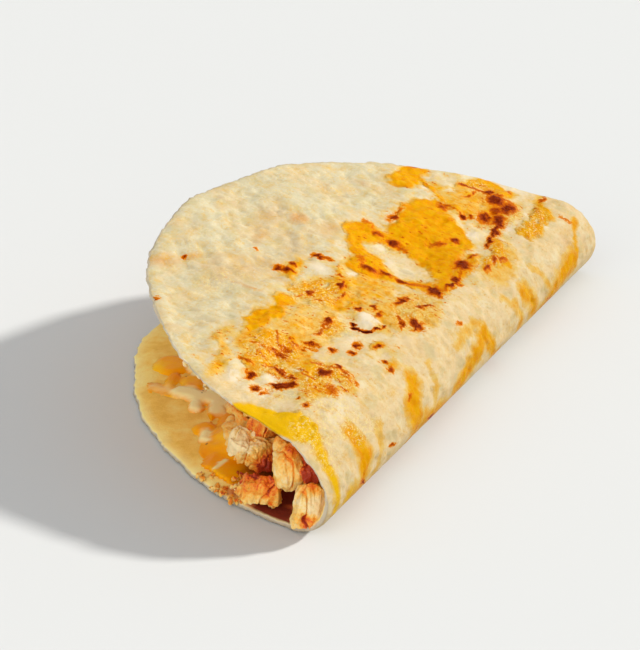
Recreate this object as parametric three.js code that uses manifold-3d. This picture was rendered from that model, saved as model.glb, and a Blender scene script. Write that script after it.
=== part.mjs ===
// A crisp griddled taco: one corn tortilla folded over chicken and melted cheese, lying on its side,
// with more cheese browned on to its outside.
//
// Every piece is described on the flat tortilla, by two lengths in millimetres: s runs along the fold,
// from the near end to the far end, and t runs across it, from the rim of the lower half through
// the fold, at t = 0, to the rim of the upper half. A depth is measured inwards from the outer skin.
import * as THREE from "three";
import { mergeVertices } from "three/addons/utils/BufferGeometryUtils.js";
import Module from "manifold-3d";

const wasm = await Module();
wasm.setup();

// Driving dimensions.
const FOLD_REACH = 76; // tortilla radius along the fold
const CROSS_REACH = 82; // tortilla radius across the fold
const FOLD_OFFSET = 2.5; // how far the tortilla's centre lies on the upper side of the fold
const THICKNESS = 2.0; // tortilla
const CHEESE_THICKNESS = 1.5; // melted layer inside
const CRUST_THICKNESS = 0.9; // cheese browned on to the outside
const GAP = 0.3; // between pieces that touch
const SHEAR_UPPER = -0.097; // how far the upper half leans towards the near end, per millimetre of t
const SHEAR_LOWER = -0.026;
const SHEAR_START = 10; // the halves lean only beyond this distance from the fold

// The folded section at each end. The skin turns through turnAngle over a length of turn, on to
// shoulderAngle over a length of shoulder, and ends at rimAngle, reached settle millimetres later.
const NEAR = { turn: 16.5, turnAngle: 109, shoulder: 17.2, shoulderAngle: 168, rimAngle: 171.5 };
const FAR = { turn: 17.5, turnAngle: 116.5, shoulder: 13.8, shoulderAngle: 168, rimAngle: 160 };
const SETTLE = 40;

const ROWS = 28; // steps along the fold
const COLUMNS = 34; // steps across it
const CROWD = 1.35; // above 1, columns crowd towards the fold
const END_SHARE = 0.99; // how near to its pointed ends the tortilla's grid goes
const SECTION_FROM = -92; // the section is marched between these values of t
const SECTION_TO = 92;
const SECTION_STEP = 0.5;

const lerp = THREE.MathUtils.lerp;
const clamp01 = (value) => THREE.MathUtils.clamp(value, 0, 1);
const smooth = THREE.MathUtils.smoothstep;

// The section's direction at t, in radians: 0 runs towards the fold along the table, pi runs back above.
function headingAt(section, t) {
  const start = -section.turn / 2;
  const turned = clamp01((t - start) / section.turn);
  const shouldered = clamp01((t - start - section.turn) / section.shoulder);
  const settled = clamp01((t - start - section.turn - section.shoulder) / SETTLE);
  const degrees =
    section.turnAngle * turned +
    (section.shoulderAngle - section.turnAngle) * shouldered +
    (section.rimAngle - section.shoulderAngle) * settled;
  return THREE.MathUtils.degToRad(degrees);
}

// The section at s, marched in short steps and set down with its lower half on z = 0 and the fold at y = 0.
const sections = new Map();
function sectionAt(s) {
  if (sections.has(s)) return sections.get(s);
  const share = clamp01((s + FOLD_REACH) / (2 * FOLD_REACH));
  const shape = {};
  for (const key of Object.keys(NEAR)) shape[key] = lerp(NEAR[key], FAR[key], share);
  const points = [];
  let y = 0;
  let z = 0;
  for (let t = SECTION_FROM; t <= SECTION_TO; t += SECTION_STEP) {
    const heading = headingAt(shape, t + SECTION_STEP / 2);
    points.push({ y, z, heading: headingAt(shape, t) });
    y -= SECTION_STEP * Math.cos(heading);
    z += SECTION_STEP * Math.sin(heading);
  }
  const nearest = Math.min(...points.map((p) => p.y));
  for (const point of points) point.y -= nearest;
  sections.set(s, points);
  return points;
}

// The slow unevenness of the upper half. The lower half lies flat on the table.
function waviness(s, t) {
  const fade = smooth(t, 14, 34);
  const slow = 0.6 * Math.sin(0.085 * s + 0.6) * Math.sin(0.11 * t + 0.4);
  const quick = 0.35 * Math.sin(0.17 * s - 0.13 * t + 1.1);
  return fade * (slow + quick);
}

// The point at s and t, at a depth under the outer skin.
function at(s, t, depth) {
  const section = sectionAt(s);
  const place = (t - SECTION_FROM) / SECTION_STEP;
  const index = THREE.MathUtils.clamp(Math.floor(place), 0, section.length - 2);
  const share = place - index;
  const [a, b] = [section[index], section[index + 1]];
  const heading = lerp(a.heading, b.heading, share);
  const inwards = depth - waviness(s, t);
  const shear =
    SHEAR_UPPER * Math.max(0, t - SHEAR_START) + SHEAR_LOWER * Math.max(0, -t - SHEAR_START);
  return new THREE.Vector3(
    s + shear,
    lerp(a.y, b.y, share) + inwards * Math.sin(heading),
    lerp(a.z, b.z, share) + inwards * Math.cos(heading),
  );
}

// A hand-pressed tortilla isn't quite round: its radius as a share of the true ellipse.
function rimShare(s, t) {
  const angle = Math.atan2(t / CROSS_REACH, s / FOLD_REACH);
  const skewed = -0.0085 * Math.sin(2 * angle);
  const wobble =
    0.006 * Math.sin(3 * angle + 0.5) +
    0.004 * Math.sin(7 * angle + 2) +
    0.003 * Math.sin(13 * angle);
  return 1 + skewed + wobble;
}

// A closed solid between two sheets of points, outer[i][j] and inner[i][j], joined round their edge.
function slab(outer, inner) {
  const rows = outer.length;
  const columns = outer[0].length;
  const positions = [...outer.flat(), ...inner.flat()].flatMap((p) => p.toArray());
  const id = (i, j, sheet) => sheet * rows * columns + i * columns + j;
  const faces = [];
  const quad = (a, b, c, d) => faces.push(a, b, c, a, c, d);
  for (let i = 0; i + 1 < rows; i++) {
    for (let j = 0; j + 1 < columns; j++) {
      quad(id(i, j, 0), id(i, j + 1, 0), id(i + 1, j + 1, 0), id(i + 1, j, 0));
      quad(id(i, j, 1), id(i + 1, j, 1), id(i + 1, j + 1, 1), id(i, j + 1, 1));
    }
  }
  for (let i = 0; i + 1 < rows; i++) {
    quad(id(i, 0, 0), id(i + 1, 0, 0), id(i + 1, 0, 1), id(i, 0, 1));
    quad(id(i + 1, columns - 1, 0), id(i, columns - 1, 0), id(i, columns - 1, 1), id(i + 1, columns - 1, 1));
  }
  for (let j = 0; j + 1 < columns; j++) {
    quad(id(0, j + 1, 0), id(0, j, 0), id(0, j, 1), id(0, j + 1, 1));
    quad(id(rows - 1, j, 0), id(rows - 1, j + 1, 0), id(rows - 1, j + 1, 1), id(rows - 1, j, 1));
  }
  return new THREE.BufferGeometry()
    .setAttribute("position", new THREE.Float32BufferAttribute(positions, 3))
    .setIndex(faces);
}

// A closed solid over a blob on the tortilla: rings of points round a centre, on two sheets.
// outline(angle) gives the blob's s and t, and depths(share) the depths of the sheets at that share of the radius.
function blob(centre, outline, depths, rings, sectors) {
  const positions = [];
  const faces = [];
  for (const sheet of [0, 1]) {
    positions.push(...at(...centre, depths(0)[sheet]).toArray());
    for (let ring = 1; ring <= rings; ring++) {
      const share = ring / rings;
      for (let k = 0; k < sectors; k++) {
        const [s, t] = outline((2 * Math.PI * k) / sectors);
        const point = at(lerp(centre[0], s, share), lerp(centre[1], t, share), depths(share)[sheet]);
        positions.push(...point.toArray());
      }
    }
  }
  const sheetSize = 1 + rings * sectors;
  const id = (ring, k, sheet) => sheet * sheetSize + 1 + (ring - 1) * sectors + (k % sectors);
  for (let k = 0; k < sectors; k++) {
    faces.push(0, id(1, k + 1, 0), id(1, k, 0));
    faces.push(sheetSize, id(1, k, 1), id(1, k + 1, 1));
    for (let ring = 1; ring < rings; ring++) {
      const [a, b, c, d] = [id(ring, k, 0), id(ring, k + 1, 0), id(ring + 1, k + 1, 0), id(ring + 1, k, 0)];
      faces.push(a, b, c, a, c, d);
      const [e, f, g, h] = [id(ring, k, 1), id(ring, k + 1, 1), id(ring + 1, k + 1, 1), id(ring + 1, k, 1)];
      faces.push(e, g, f, e, h, g);
    }
    const [a, b, c, d] = [id(rings, k, 0), id(rings, k + 1, 0), id(rings, k + 1, 1), id(rings, k, 1)];
    faces.push(a, b, c, a, c, d);
  }
  return new THREE.BufferGeometry()
    .setAttribute("position", new THREE.Float32BufferAttribute(positions, 3))
    .setIndex(faces);
}

// A closed solid through closed sections, one row of points each, with a fan over each end.
function loft(rows) {
  const columns = rows[0].length;
  const middle = (row) =>
    row.reduce((sum, p) => sum.add(p), new THREE.Vector3()).divideScalar(columns);
  const points = [...rows.flat(), middle(rows[0]), middle(rows[rows.length - 1])];
  const id = (i, j) => i * columns + (j % columns);
  const first = rows.length * columns;
  const faces = [];
  for (let j = 0; j < columns; j++) {
    for (let i = 0; i + 1 < rows.length; i++) {
      faces.push(id(i, j), id(i, j + 1), id(i + 1, j + 1), id(i, j), id(i + 1, j + 1), id(i + 1, j));
    }
    faces.push(first, id(0, j + 1), id(0, j));
    faces.push(first + 1, id(rows.length - 1, j), id(rows.length - 1, j + 1));
  }
  return new THREE.BufferGeometry()
    .setAttribute("position", new THREE.Float32BufferAttribute(points.flatMap((p) => p.toArray()), 3))
    .setIndex(faces);
}

// The geometry as a solid for cutting, facing out whichever way its faces were wound.
function solidOf(geometry) {
  const bare = geometry.clone();
  bare.deleteAttribute("normal");
  bare.deleteAttribute("uv");
  const merged = mergeVertices(bare, 1e-4);
  const build = (triVerts) =>
    new wasm.Manifold(
      new wasm.Mesh({ numProp: 3, vertProperties: merged.attributes.position.array, triVerts }),
    );
  const triVerts = new Uint32Array(merged.index.array);
  const made = build(triVerts);
  return made.volume() > 0 ? made : build(triVerts.reverse());
}

function geometryOf(solid) {
  const mesh = solid.getMesh();
  return new THREE.BufferGeometry()
    .setAttribute("position", new THREE.BufferAttribute(mesh.vertProperties, mesh.numProp))
    .setIndex(new THREE.BufferAttribute(mesh.triVerts, 1));
}

const MATERIALS = {
  tortilla: new THREE.MeshStandardMaterial({ color: 0xe6d2a0, roughness: 0.6, metalness: 0 }),
  cheese: new THREE.MeshStandardMaterial({ color: 0xf0a81c, roughness: 0.3, metalness: 0 }),
  chicken: new THREE.MeshStandardMaterial({ color: 0xe8b878, roughness: 0.55, metalness: 0 }),
};

const body = new THREE.Group();
function add(name, solid, material) {
  const mesh = new THREE.Mesh(geometryOf(solid), MATERIALS[material]);
  mesh.name = name;
  body.add(mesh);
}

// The tortilla between two depths, as a grid whose rows narrow towards the two ends of the fold.
function tortilla(from, to) {
  const sheet = (depth) => {
    const rows = [];
    for (let i = 0; i <= ROWS; i++) {
      const s = -FOLD_REACH * END_SHARE * Math.cos((Math.PI * i) / ROWS);
      const half = CROSS_REACH * Math.sqrt(1 - (s / FOLD_REACH) ** 2);
      const row = [];
      for (let j = 0; j <= COLUMNS; j++) {
        const across = (2 * j) / COLUMNS - 1;
        const t = half * Math.sign(across) * Math.abs(across) ** CROWD;
        const share = lerp(1, rimShare(s, t), (s / FOLD_REACH) ** 2 + (t / CROSS_REACH) ** 2);
        row.push(at(s * share, FOLD_OFFSET + t * share, depth));
      }
      rows.push(row);
    }
    return rows;
  };
  return solidOf(slab(sheet(from), sheet(to)));
}

// An uneven oval on the tortilla: radii along s and t, turned, with lobes given as [count, share, phase].
function oval([s0, t0], [along, across], turned, lobes) {
  return (angle) => {
    const swell = lobes.reduce((sum, [n, share, phase]) => sum + share * Math.sin(n * angle + phase), 1);
    const [u, v] = [along * swell * Math.cos(angle), across * swell * Math.sin(angle)];
    return [
      s0 + u * Math.cos(turned) - v * Math.sin(turned),
      t0 + u * Math.sin(turned) + v * Math.cos(turned),
    ];
  };
}

// Cheese browned on to the outer skin: thin lenses with a rounded top and a blunt edge.
const WIDER_AT_START = [1, 0.14, -Math.PI / 2];
const CRUSTS = [
  {
    name: "cheese_crust_far",
    centre: [29, 41],
    radii: [29, 14],
    turned: 0.5,
    lobes: [WIDER_AT_START, [3, 0.1, 1.2], [5, 0.05, 2]],
  },
  {
    name: "cheese_crust_near",
    centre: [-32, 38],
    radii: [28, 11.5],
    turned: 0.38,
    lobes: [WIDER_AT_START, [3, 0.08, 1.9], [7, 0.04, 1]],
  },
];
const CRUST_EDGE = 0.3; // thickness left at the edge
function crust({ centre, radii, turned, lobes }) {
  const depths = (share) => {
    const rounded = Math.sqrt(1 - 0.98 * share ** 2);
    return [-GAP - lerp(CRUST_EDGE, CRUST_THICKNESS, rounded), -GAP];
  };
  return solidOf(blob(centre, oval(centre, radii, turned, lobes), depths, 4, 30));
}

// The melted cheese that lines the lower half, under the chicken, from end to end. Its outline is
// the tortilla's own, drawn in, and cut off along the fold.
const LINING_SHARE = 0.83; // of the tortilla's radii
const LINING_CENTRE = [0, -28];
const LINING_START = -10; // the value of t along the fold
const LINING_EDGE = 0.4; // thickness left at the edge
function liningOutline(angle) {
  const [cos, sin] = [Math.cos(angle), Math.sin(angle)];
  const [s0, t0] = LINING_CENTRE;
  const [reachS, reachT] = [FOLD_REACH * LINING_SHARE, CROSS_REACH * LINING_SHARE];
  const a = (cos / reachS) ** 2 + (sin / reachT) ** 2;
  const b = (s0 * cos) / reachS ** 2 + ((t0 - FOLD_OFFSET) * sin) / reachT ** 2;
  const c = (s0 / reachS) ** 2 + ((t0 - FOLD_OFFSET) / reachT) ** 2 - 1;
  const toRim = (-b + Math.sqrt(b * b - a * c)) / a;
  const toFold = sin > 0 ? (LINING_START - t0) / sin : Infinity;
  const wander = 1 + 0.05 * Math.sin(4 * angle + 0.6) + 0.04 * Math.sin(7 * angle + 1.4);
  const reach = Math.min(toRim * wander, toFold);
  return [s0 + reach * cos, t0 + reach * sin];
}

function lining(extra = 0) {
  const foot = THICKNESS + GAP;
  const depths = (share) => {
    const rounded = Math.sqrt(1 - share ** 4);
    return [foot - extra, foot + lerp(LINING_EDGE, CHEESE_THICKNESS, rounded) + extra];
  };
  return solidOf(blob(LINING_CENTRE, liningOutline, depths, 4, 48));
}

// The chicken that fills the fold. Its section follows the tortilla's inside round the fold, and an
// uneven front joins the ends of that line. It narrows towards both ends of the taco.
const FILLING_FROM = -60;
const FILLING_TO = 66;
const FILLING_ROWS = 18;
const FILLING_WRAP = 17; // section points round the fold
const FILLING_FRONT = 7; // section points over the front
function filling() {
  const rows = [];
  for (let i = 0; i <= FILLING_ROWS; i++) {
    const along = i / FILLING_ROWS;
    const s = lerp(FILLING_FROM, FILLING_TO, along);
    const taper = Math.sqrt(Math.sin(Math.PI * lerp(0.16, 0.9, along)));
    const low = -lerp(12, 41, taper) - 1.5 * Math.sin(0.31 * s);
    const high = lerp(16, 50, taper) + 1.5 * Math.sin(0.23 * s + 1);
    const row = [];
    for (let j = 0; j <= FILLING_WRAP; j++) {
      const t = lerp(low, high, j / FILLING_WRAP);
      const overCheese = 1 - smooth(t, -13, -6);
      const depth = THICKNESS + GAP + overCheese * (CHEESE_THICKNESS + GAP) + 0.2;
      row.push(at(s, t, depth));
    }
    const [foot, head] = [row[0], row[FILLING_WRAP]];
    for (let j = 1; j < FILLING_FRONT; j++) {
      const rise = 1 - j / FILLING_FRONT;
      const point = foot.clone().lerp(head, rise);
      point.y += 2.2 * Math.sin(Math.PI * rise) * (1 + 0.6 * Math.sin(0.5 * s + 5 * rise));
      row.push(point);
    }
    rows.push(row);
  }
  return solidOf(loft(rows));
}

// The pieces of chicken that show at the near end, as lumpy rounded blocks: the middle, the half sizes
// along the fold, across it and up, and the turns about X, Y and Z.
const PIECES = [
  { middle: [-73.0, 6.0, 6.0], half: [2.0, 3.1, 4.3], turned: [0, 0.22, 0.46] },
  { middle: [-69.2, 12.3, 12.1], half: [3.2, 3.0, 4.6], turned: [-0.1, 0.12, 0.46] },
  { middle: [-71.8, 18.2, 5.0], half: [3.3, 4.8, 3.3], turned: [0.1, 0.05, 0.46] },
  { middle: [-66.4, 22.9, 10.4], half: [3.3, 4.8, 3.2], turned: [0.25, 0, 0.4] },
  { middle: [-62.8, 22.2, 13.6], half: [2.9, 3.1, 2.5], turned: [0.2, 0.1, 0.4] },
  { middle: [-67.0, 8.6, 9.9], half: [2.4, 1.9, 3.0], turned: [0, 0.1, 0.46] },
];
const PIECE_DETAIL = 2;
function piece({ middle, half, turned }, index, extra = 0) {
  const geometry = new THREE.IcosahedronGeometry(1, PIECE_DETAIL);
  const position = geometry.attributes.position;
  const p = new THREE.Vector3();
  for (let i = 0; i < position.count; i++) {
    p.fromBufferAttribute(position, i);
    const lumps =
      1 +
      0.08 * Math.sin(5 * p.x + 3 * p.y + 1.7 * index) +
      0.06 * Math.sin(7 * p.z - 4 * p.y + 2.3 * index);
    const squared = (Math.abs(p.x) ** 4 + Math.abs(p.y) ** 4 + Math.abs(p.z) ** 4) ** -0.15;
    p.multiplyScalar(lumps * squared);
    const [x, y, z] = half.map((size, axis) => p.getComponent(axis) * (size + extra));
    position.setXYZ(i, x, y, z);
  }
  geometry.rotateX(turned[0]).rotateY(turned[1]).rotateZ(turned[2]).translate(...middle);
  return solidOf(geometry);
}

// The largest body left of a solid once the cutters are taken out of it.
function trimmed(solid, cutters) {
  const left = cutters.reduce((rest, cutter) => rest.subtract(cutter), solid);
  return left.decompose().sort((a, b) => b.volume() - a.volume())[0];
}

add("tortilla", tortilla(0, THICKNESS), "tortilla");
for (const each of CRUSTS) add(each.name, crust(each), "cheese");
add("melted_cheese", lining(), "cheese");

// Each piece of chicken gives way to the tortilla, the cheese and the pieces before it. The filling
// gives way to all of the pieces.
const CUT_OUTSIDE = 8; // how far beyond the outer skin the tortilla's cutter reaches
const cutters = [tortilla(-CUT_OUTSIDE, THICKNESS + GAP), lining(GAP)];
PIECES.forEach((each, index) => {
  add(`chicken_piece_${index + 1}`, trimmed(piece(each, index), cutters), "chicken");
  cutters.push(piece(each, index, 1.5 * GAP));
});
add("chicken_filling", trimmed(filling(), cutters.slice(2)), "chicken");

// The origin is under the middle of the whole taco, on the table.
const box = new THREE.Box3().setFromObject(body);
body.position.set(-(box.min.x + box.max.x) / 2, -(box.min.y + box.max.y) / 2, -box.min.z);

const taco = new THREE.Group();
taco.add(body);
export default taco;
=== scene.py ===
import math

import bmesh
import bpy
import numpy as np
from mathutils import Euler, Matrix, Vector


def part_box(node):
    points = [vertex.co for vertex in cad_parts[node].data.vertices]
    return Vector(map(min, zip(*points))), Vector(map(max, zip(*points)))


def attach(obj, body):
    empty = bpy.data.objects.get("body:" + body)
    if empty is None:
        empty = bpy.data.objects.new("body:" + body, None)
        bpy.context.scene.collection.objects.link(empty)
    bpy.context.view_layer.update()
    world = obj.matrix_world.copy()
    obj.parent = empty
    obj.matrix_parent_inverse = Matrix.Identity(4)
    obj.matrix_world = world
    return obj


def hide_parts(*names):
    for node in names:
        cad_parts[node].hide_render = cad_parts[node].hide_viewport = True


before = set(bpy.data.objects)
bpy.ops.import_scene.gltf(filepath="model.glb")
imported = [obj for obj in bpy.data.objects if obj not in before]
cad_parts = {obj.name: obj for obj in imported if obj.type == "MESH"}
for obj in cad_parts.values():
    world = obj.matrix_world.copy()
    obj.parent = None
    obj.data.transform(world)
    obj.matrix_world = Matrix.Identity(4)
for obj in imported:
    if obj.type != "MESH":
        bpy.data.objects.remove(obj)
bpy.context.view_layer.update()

# The looks of a crisp griddled taco lying on its side: a corn tortilla folded over chicken and
# melted cheese, with more cheese browned on to its outside. Lengths are in millimetres until
# in_row_frame turns them into metres. Most pieces are laid out on the flat tortilla: s runs along
# the fold, from the near end to the far end, and t across it, from the rim of the lower half
# through the fold, at t = 0, to the rim of the upper half. A depth is measured inwards from the
# outer skin. The few loose pieces are placed by x along the fold, y from the fold's outside and z up.

MM = 0.001
FOLD_REACH = 76  # tortilla radius along the fold
CROSS_REACH = 82  # and across it
FOLD_OFFSET = 2.5  # how far the tortilla's centre lies on the upper side of the fold
THICKNESS = 2
RIM_THICKNESS = 1.5
SHEAR_UPPER = -0.097  # how far each half leans towards the near end, per millimetre of t
SHEAR_LOWER = -0.026
SHEAR_START = 10
SETTLE = 40
NEAR = {"turn": 16.5, "turn_angle": 109, "shoulder": 17.2, "shoulder_angle": 168, "rim_angle": 171.5}
FAR = {"turn": 17.5, "turn_angle": 116.5, "shoulder": 13.8, "shoulder_angle": 168, "rim_angle": 160}
SKIN_CELLS = 264  # cells across the outer skin's grid
CRUST_CELL = 0.32
LINING_CELL = 0.5


# ---- Numbers ----


def lerp(a, b, share):
    return a + (b - a) * share


def smooth(value, low, high):
    """0 below low, 1 above high, and a smooth step between."""
    share = np.clip((value - low) / (high - low), 0, 1)
    return share * share * (3 - 2 * share)


def lattice(corner, seed):
    """A repeatable random number from -1 to 1 for each whole-numbered point."""
    mixed = corner[..., 0] * 374761393 + corner[..., 1] * 668265263 + corner[..., 2] * 1440662683
    mixed = (mixed + seed * 974634777) & 0xFFFFFFFF
    mixed = ((mixed ^ (mixed >> 13)) * 1274126177) & 0xFFFFFFFF
    mixed = ((mixed ^ (mixed >> 16)) * 2246822519) & 0xFFFFFFFF
    return ((mixed ^ (mixed >> 15)) & 0xFFFFFF) / 0x7FFFFF - 1


def value_noise(points, size, seed):
    """Smooth noise from -1 to 1 with features of about the given size."""
    scaled = points / size
    base = np.floor(scaled).astype(np.int64)
    part = scaled - base
    part = part * part * part * (part * (part * 6 - 15) + 10)
    total = 0
    for dx in (0, 1):
        for dy in (0, 1):
            for dz in (0, 1):
                weight = np.abs(1 - dx - part[..., 0]) * np.abs(1 - dy - part[..., 1])
                weight = weight * np.abs(1 - dz - part[..., 2])
                total = total + weight * lattice(base + np.array([dx, dy, dz]), seed)
    return total


def noise(points, size, seed, octaves=3, gain=0.5):
    """Layered noise: each octave is half the size of the one before, and gain times as strong."""
    total, weight, reach = 0, 1, 0
    for octave in range(octaves):
        shifted = points + 17.3 * octave
        total = total + weight * value_noise(shifted, size / 2**octave, seed + octave)
        reach += weight
        weight *= gain
    return total / reach


def flat_points(s, t, layer=0):
    """Points for noise over the flat tortilla; another layer gives unrelated noise."""
    return np.stack([s, t, np.full_like(s, layer)], -1)


# ---- The folded tortilla ----


def folded(s, t, depth):
    """The point at s and t, at a depth under the outer skin, with the fold's outside at y = 0."""
    share = np.clip((s + FOLD_REACH) / (2 * FOLD_REACH), 0, 1)
    shape = {key: lerp(NEAR[key], FAR[key], share) for key in NEAR}
    begin = -shape["turn"] / 2
    y = np.minimum(t - begin, 0)
    z = np.zeros_like(y)
    heading = np.zeros_like(y)
    turns = (
        (shape["turn"], np.zeros_like(share), shape["turn_angle"]),
        (shape["shoulder"], shape["turn_angle"], shape["shoulder_angle"]),
        (np.full_like(share, SETTLE), shape["shoulder_angle"], shape["rim_angle"]),
    )
    for length, angle_from, angle_to in turns:
        walked = np.clip(t - begin, 0, length)
        turned = np.radians(angle_to - angle_from) / length * walked
        middle = np.radians(angle_from) + turned / 2
        chord = walked * np.sinc(turned / 2 / np.pi)
        y = y + chord * np.cos(middle)
        z = z + chord * np.sin(middle)
        heading = heading + turned
        begin = begin + length
    rest = np.maximum(t - begin, 0)
    y = y + rest * np.cos(heading)
    z = z + rest * np.sin(heading)
    y = shape["turn"] / np.radians(shape["turn_angle"]) - y
    inwards = depth - waviness(s, t)
    shear = SHEAR_UPPER * np.maximum(0, t - SHEAR_START)
    shear = shear + SHEAR_LOWER * np.maximum(0, -t - SHEAR_START)
    return np.stack([s + shear, y + inwards * np.sin(heading), z + inwards * np.cos(heading)], -1)


def waviness(s, t):
    """The slow unevenness of the upper half, as in the CAD model."""
    slow = 0.6 * np.sin(0.085 * s + 0.6) * np.sin(0.11 * t + 0.4)
    quick = 0.35 * np.sin(0.17 * s - 0.13 * t + 1.1)
    return smooth(t, 14, 34) * (slow + quick)


def rim_share(angle):
    """The rim's radius as a share of the true ellipse: hand-pressed, and a little ragged."""
    around = np.stack([np.cos(angle), np.sin(angle), np.zeros_like(angle)], -1) * CROSS_REACH
    slow = 0.006 * np.sin(3 * angle + 0.5) + 0.004 * np.sin(7 * angle + 2) + 0.003 * np.sin(13 * angle)
    ragged = 0.005 * noise(around, 5, 31) + 0.0035 * noise(around, 1.6, 32)
    return 1 - 0.0085 * np.sin(2 * angle) + slow + ragged


def fold_offset():
    """The shift from the fold's own place to the row frame, in millimetres."""
    low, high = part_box("tortilla")
    angle = np.linspace(0, 2 * np.pi, 720)
    share = 0.995 * rim_share(angle)
    s = FOLD_REACH * np.cos(angle) * share
    t = FOLD_OFFSET + CROSS_REACH * np.sin(angle) * share
    x = folded(s, t, np.zeros_like(s))[:, 0]
    middle = (low.x + high.x) / 2 / MM
    return np.array([middle - (x.min() + x.max()) / 2, low.y / MM, low.z / MM])


OFFSET = fold_offset()


def in_row_frame(points):
    return (points + OFFSET) * MM


# ---- What lies on the flat tortilla ----

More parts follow.
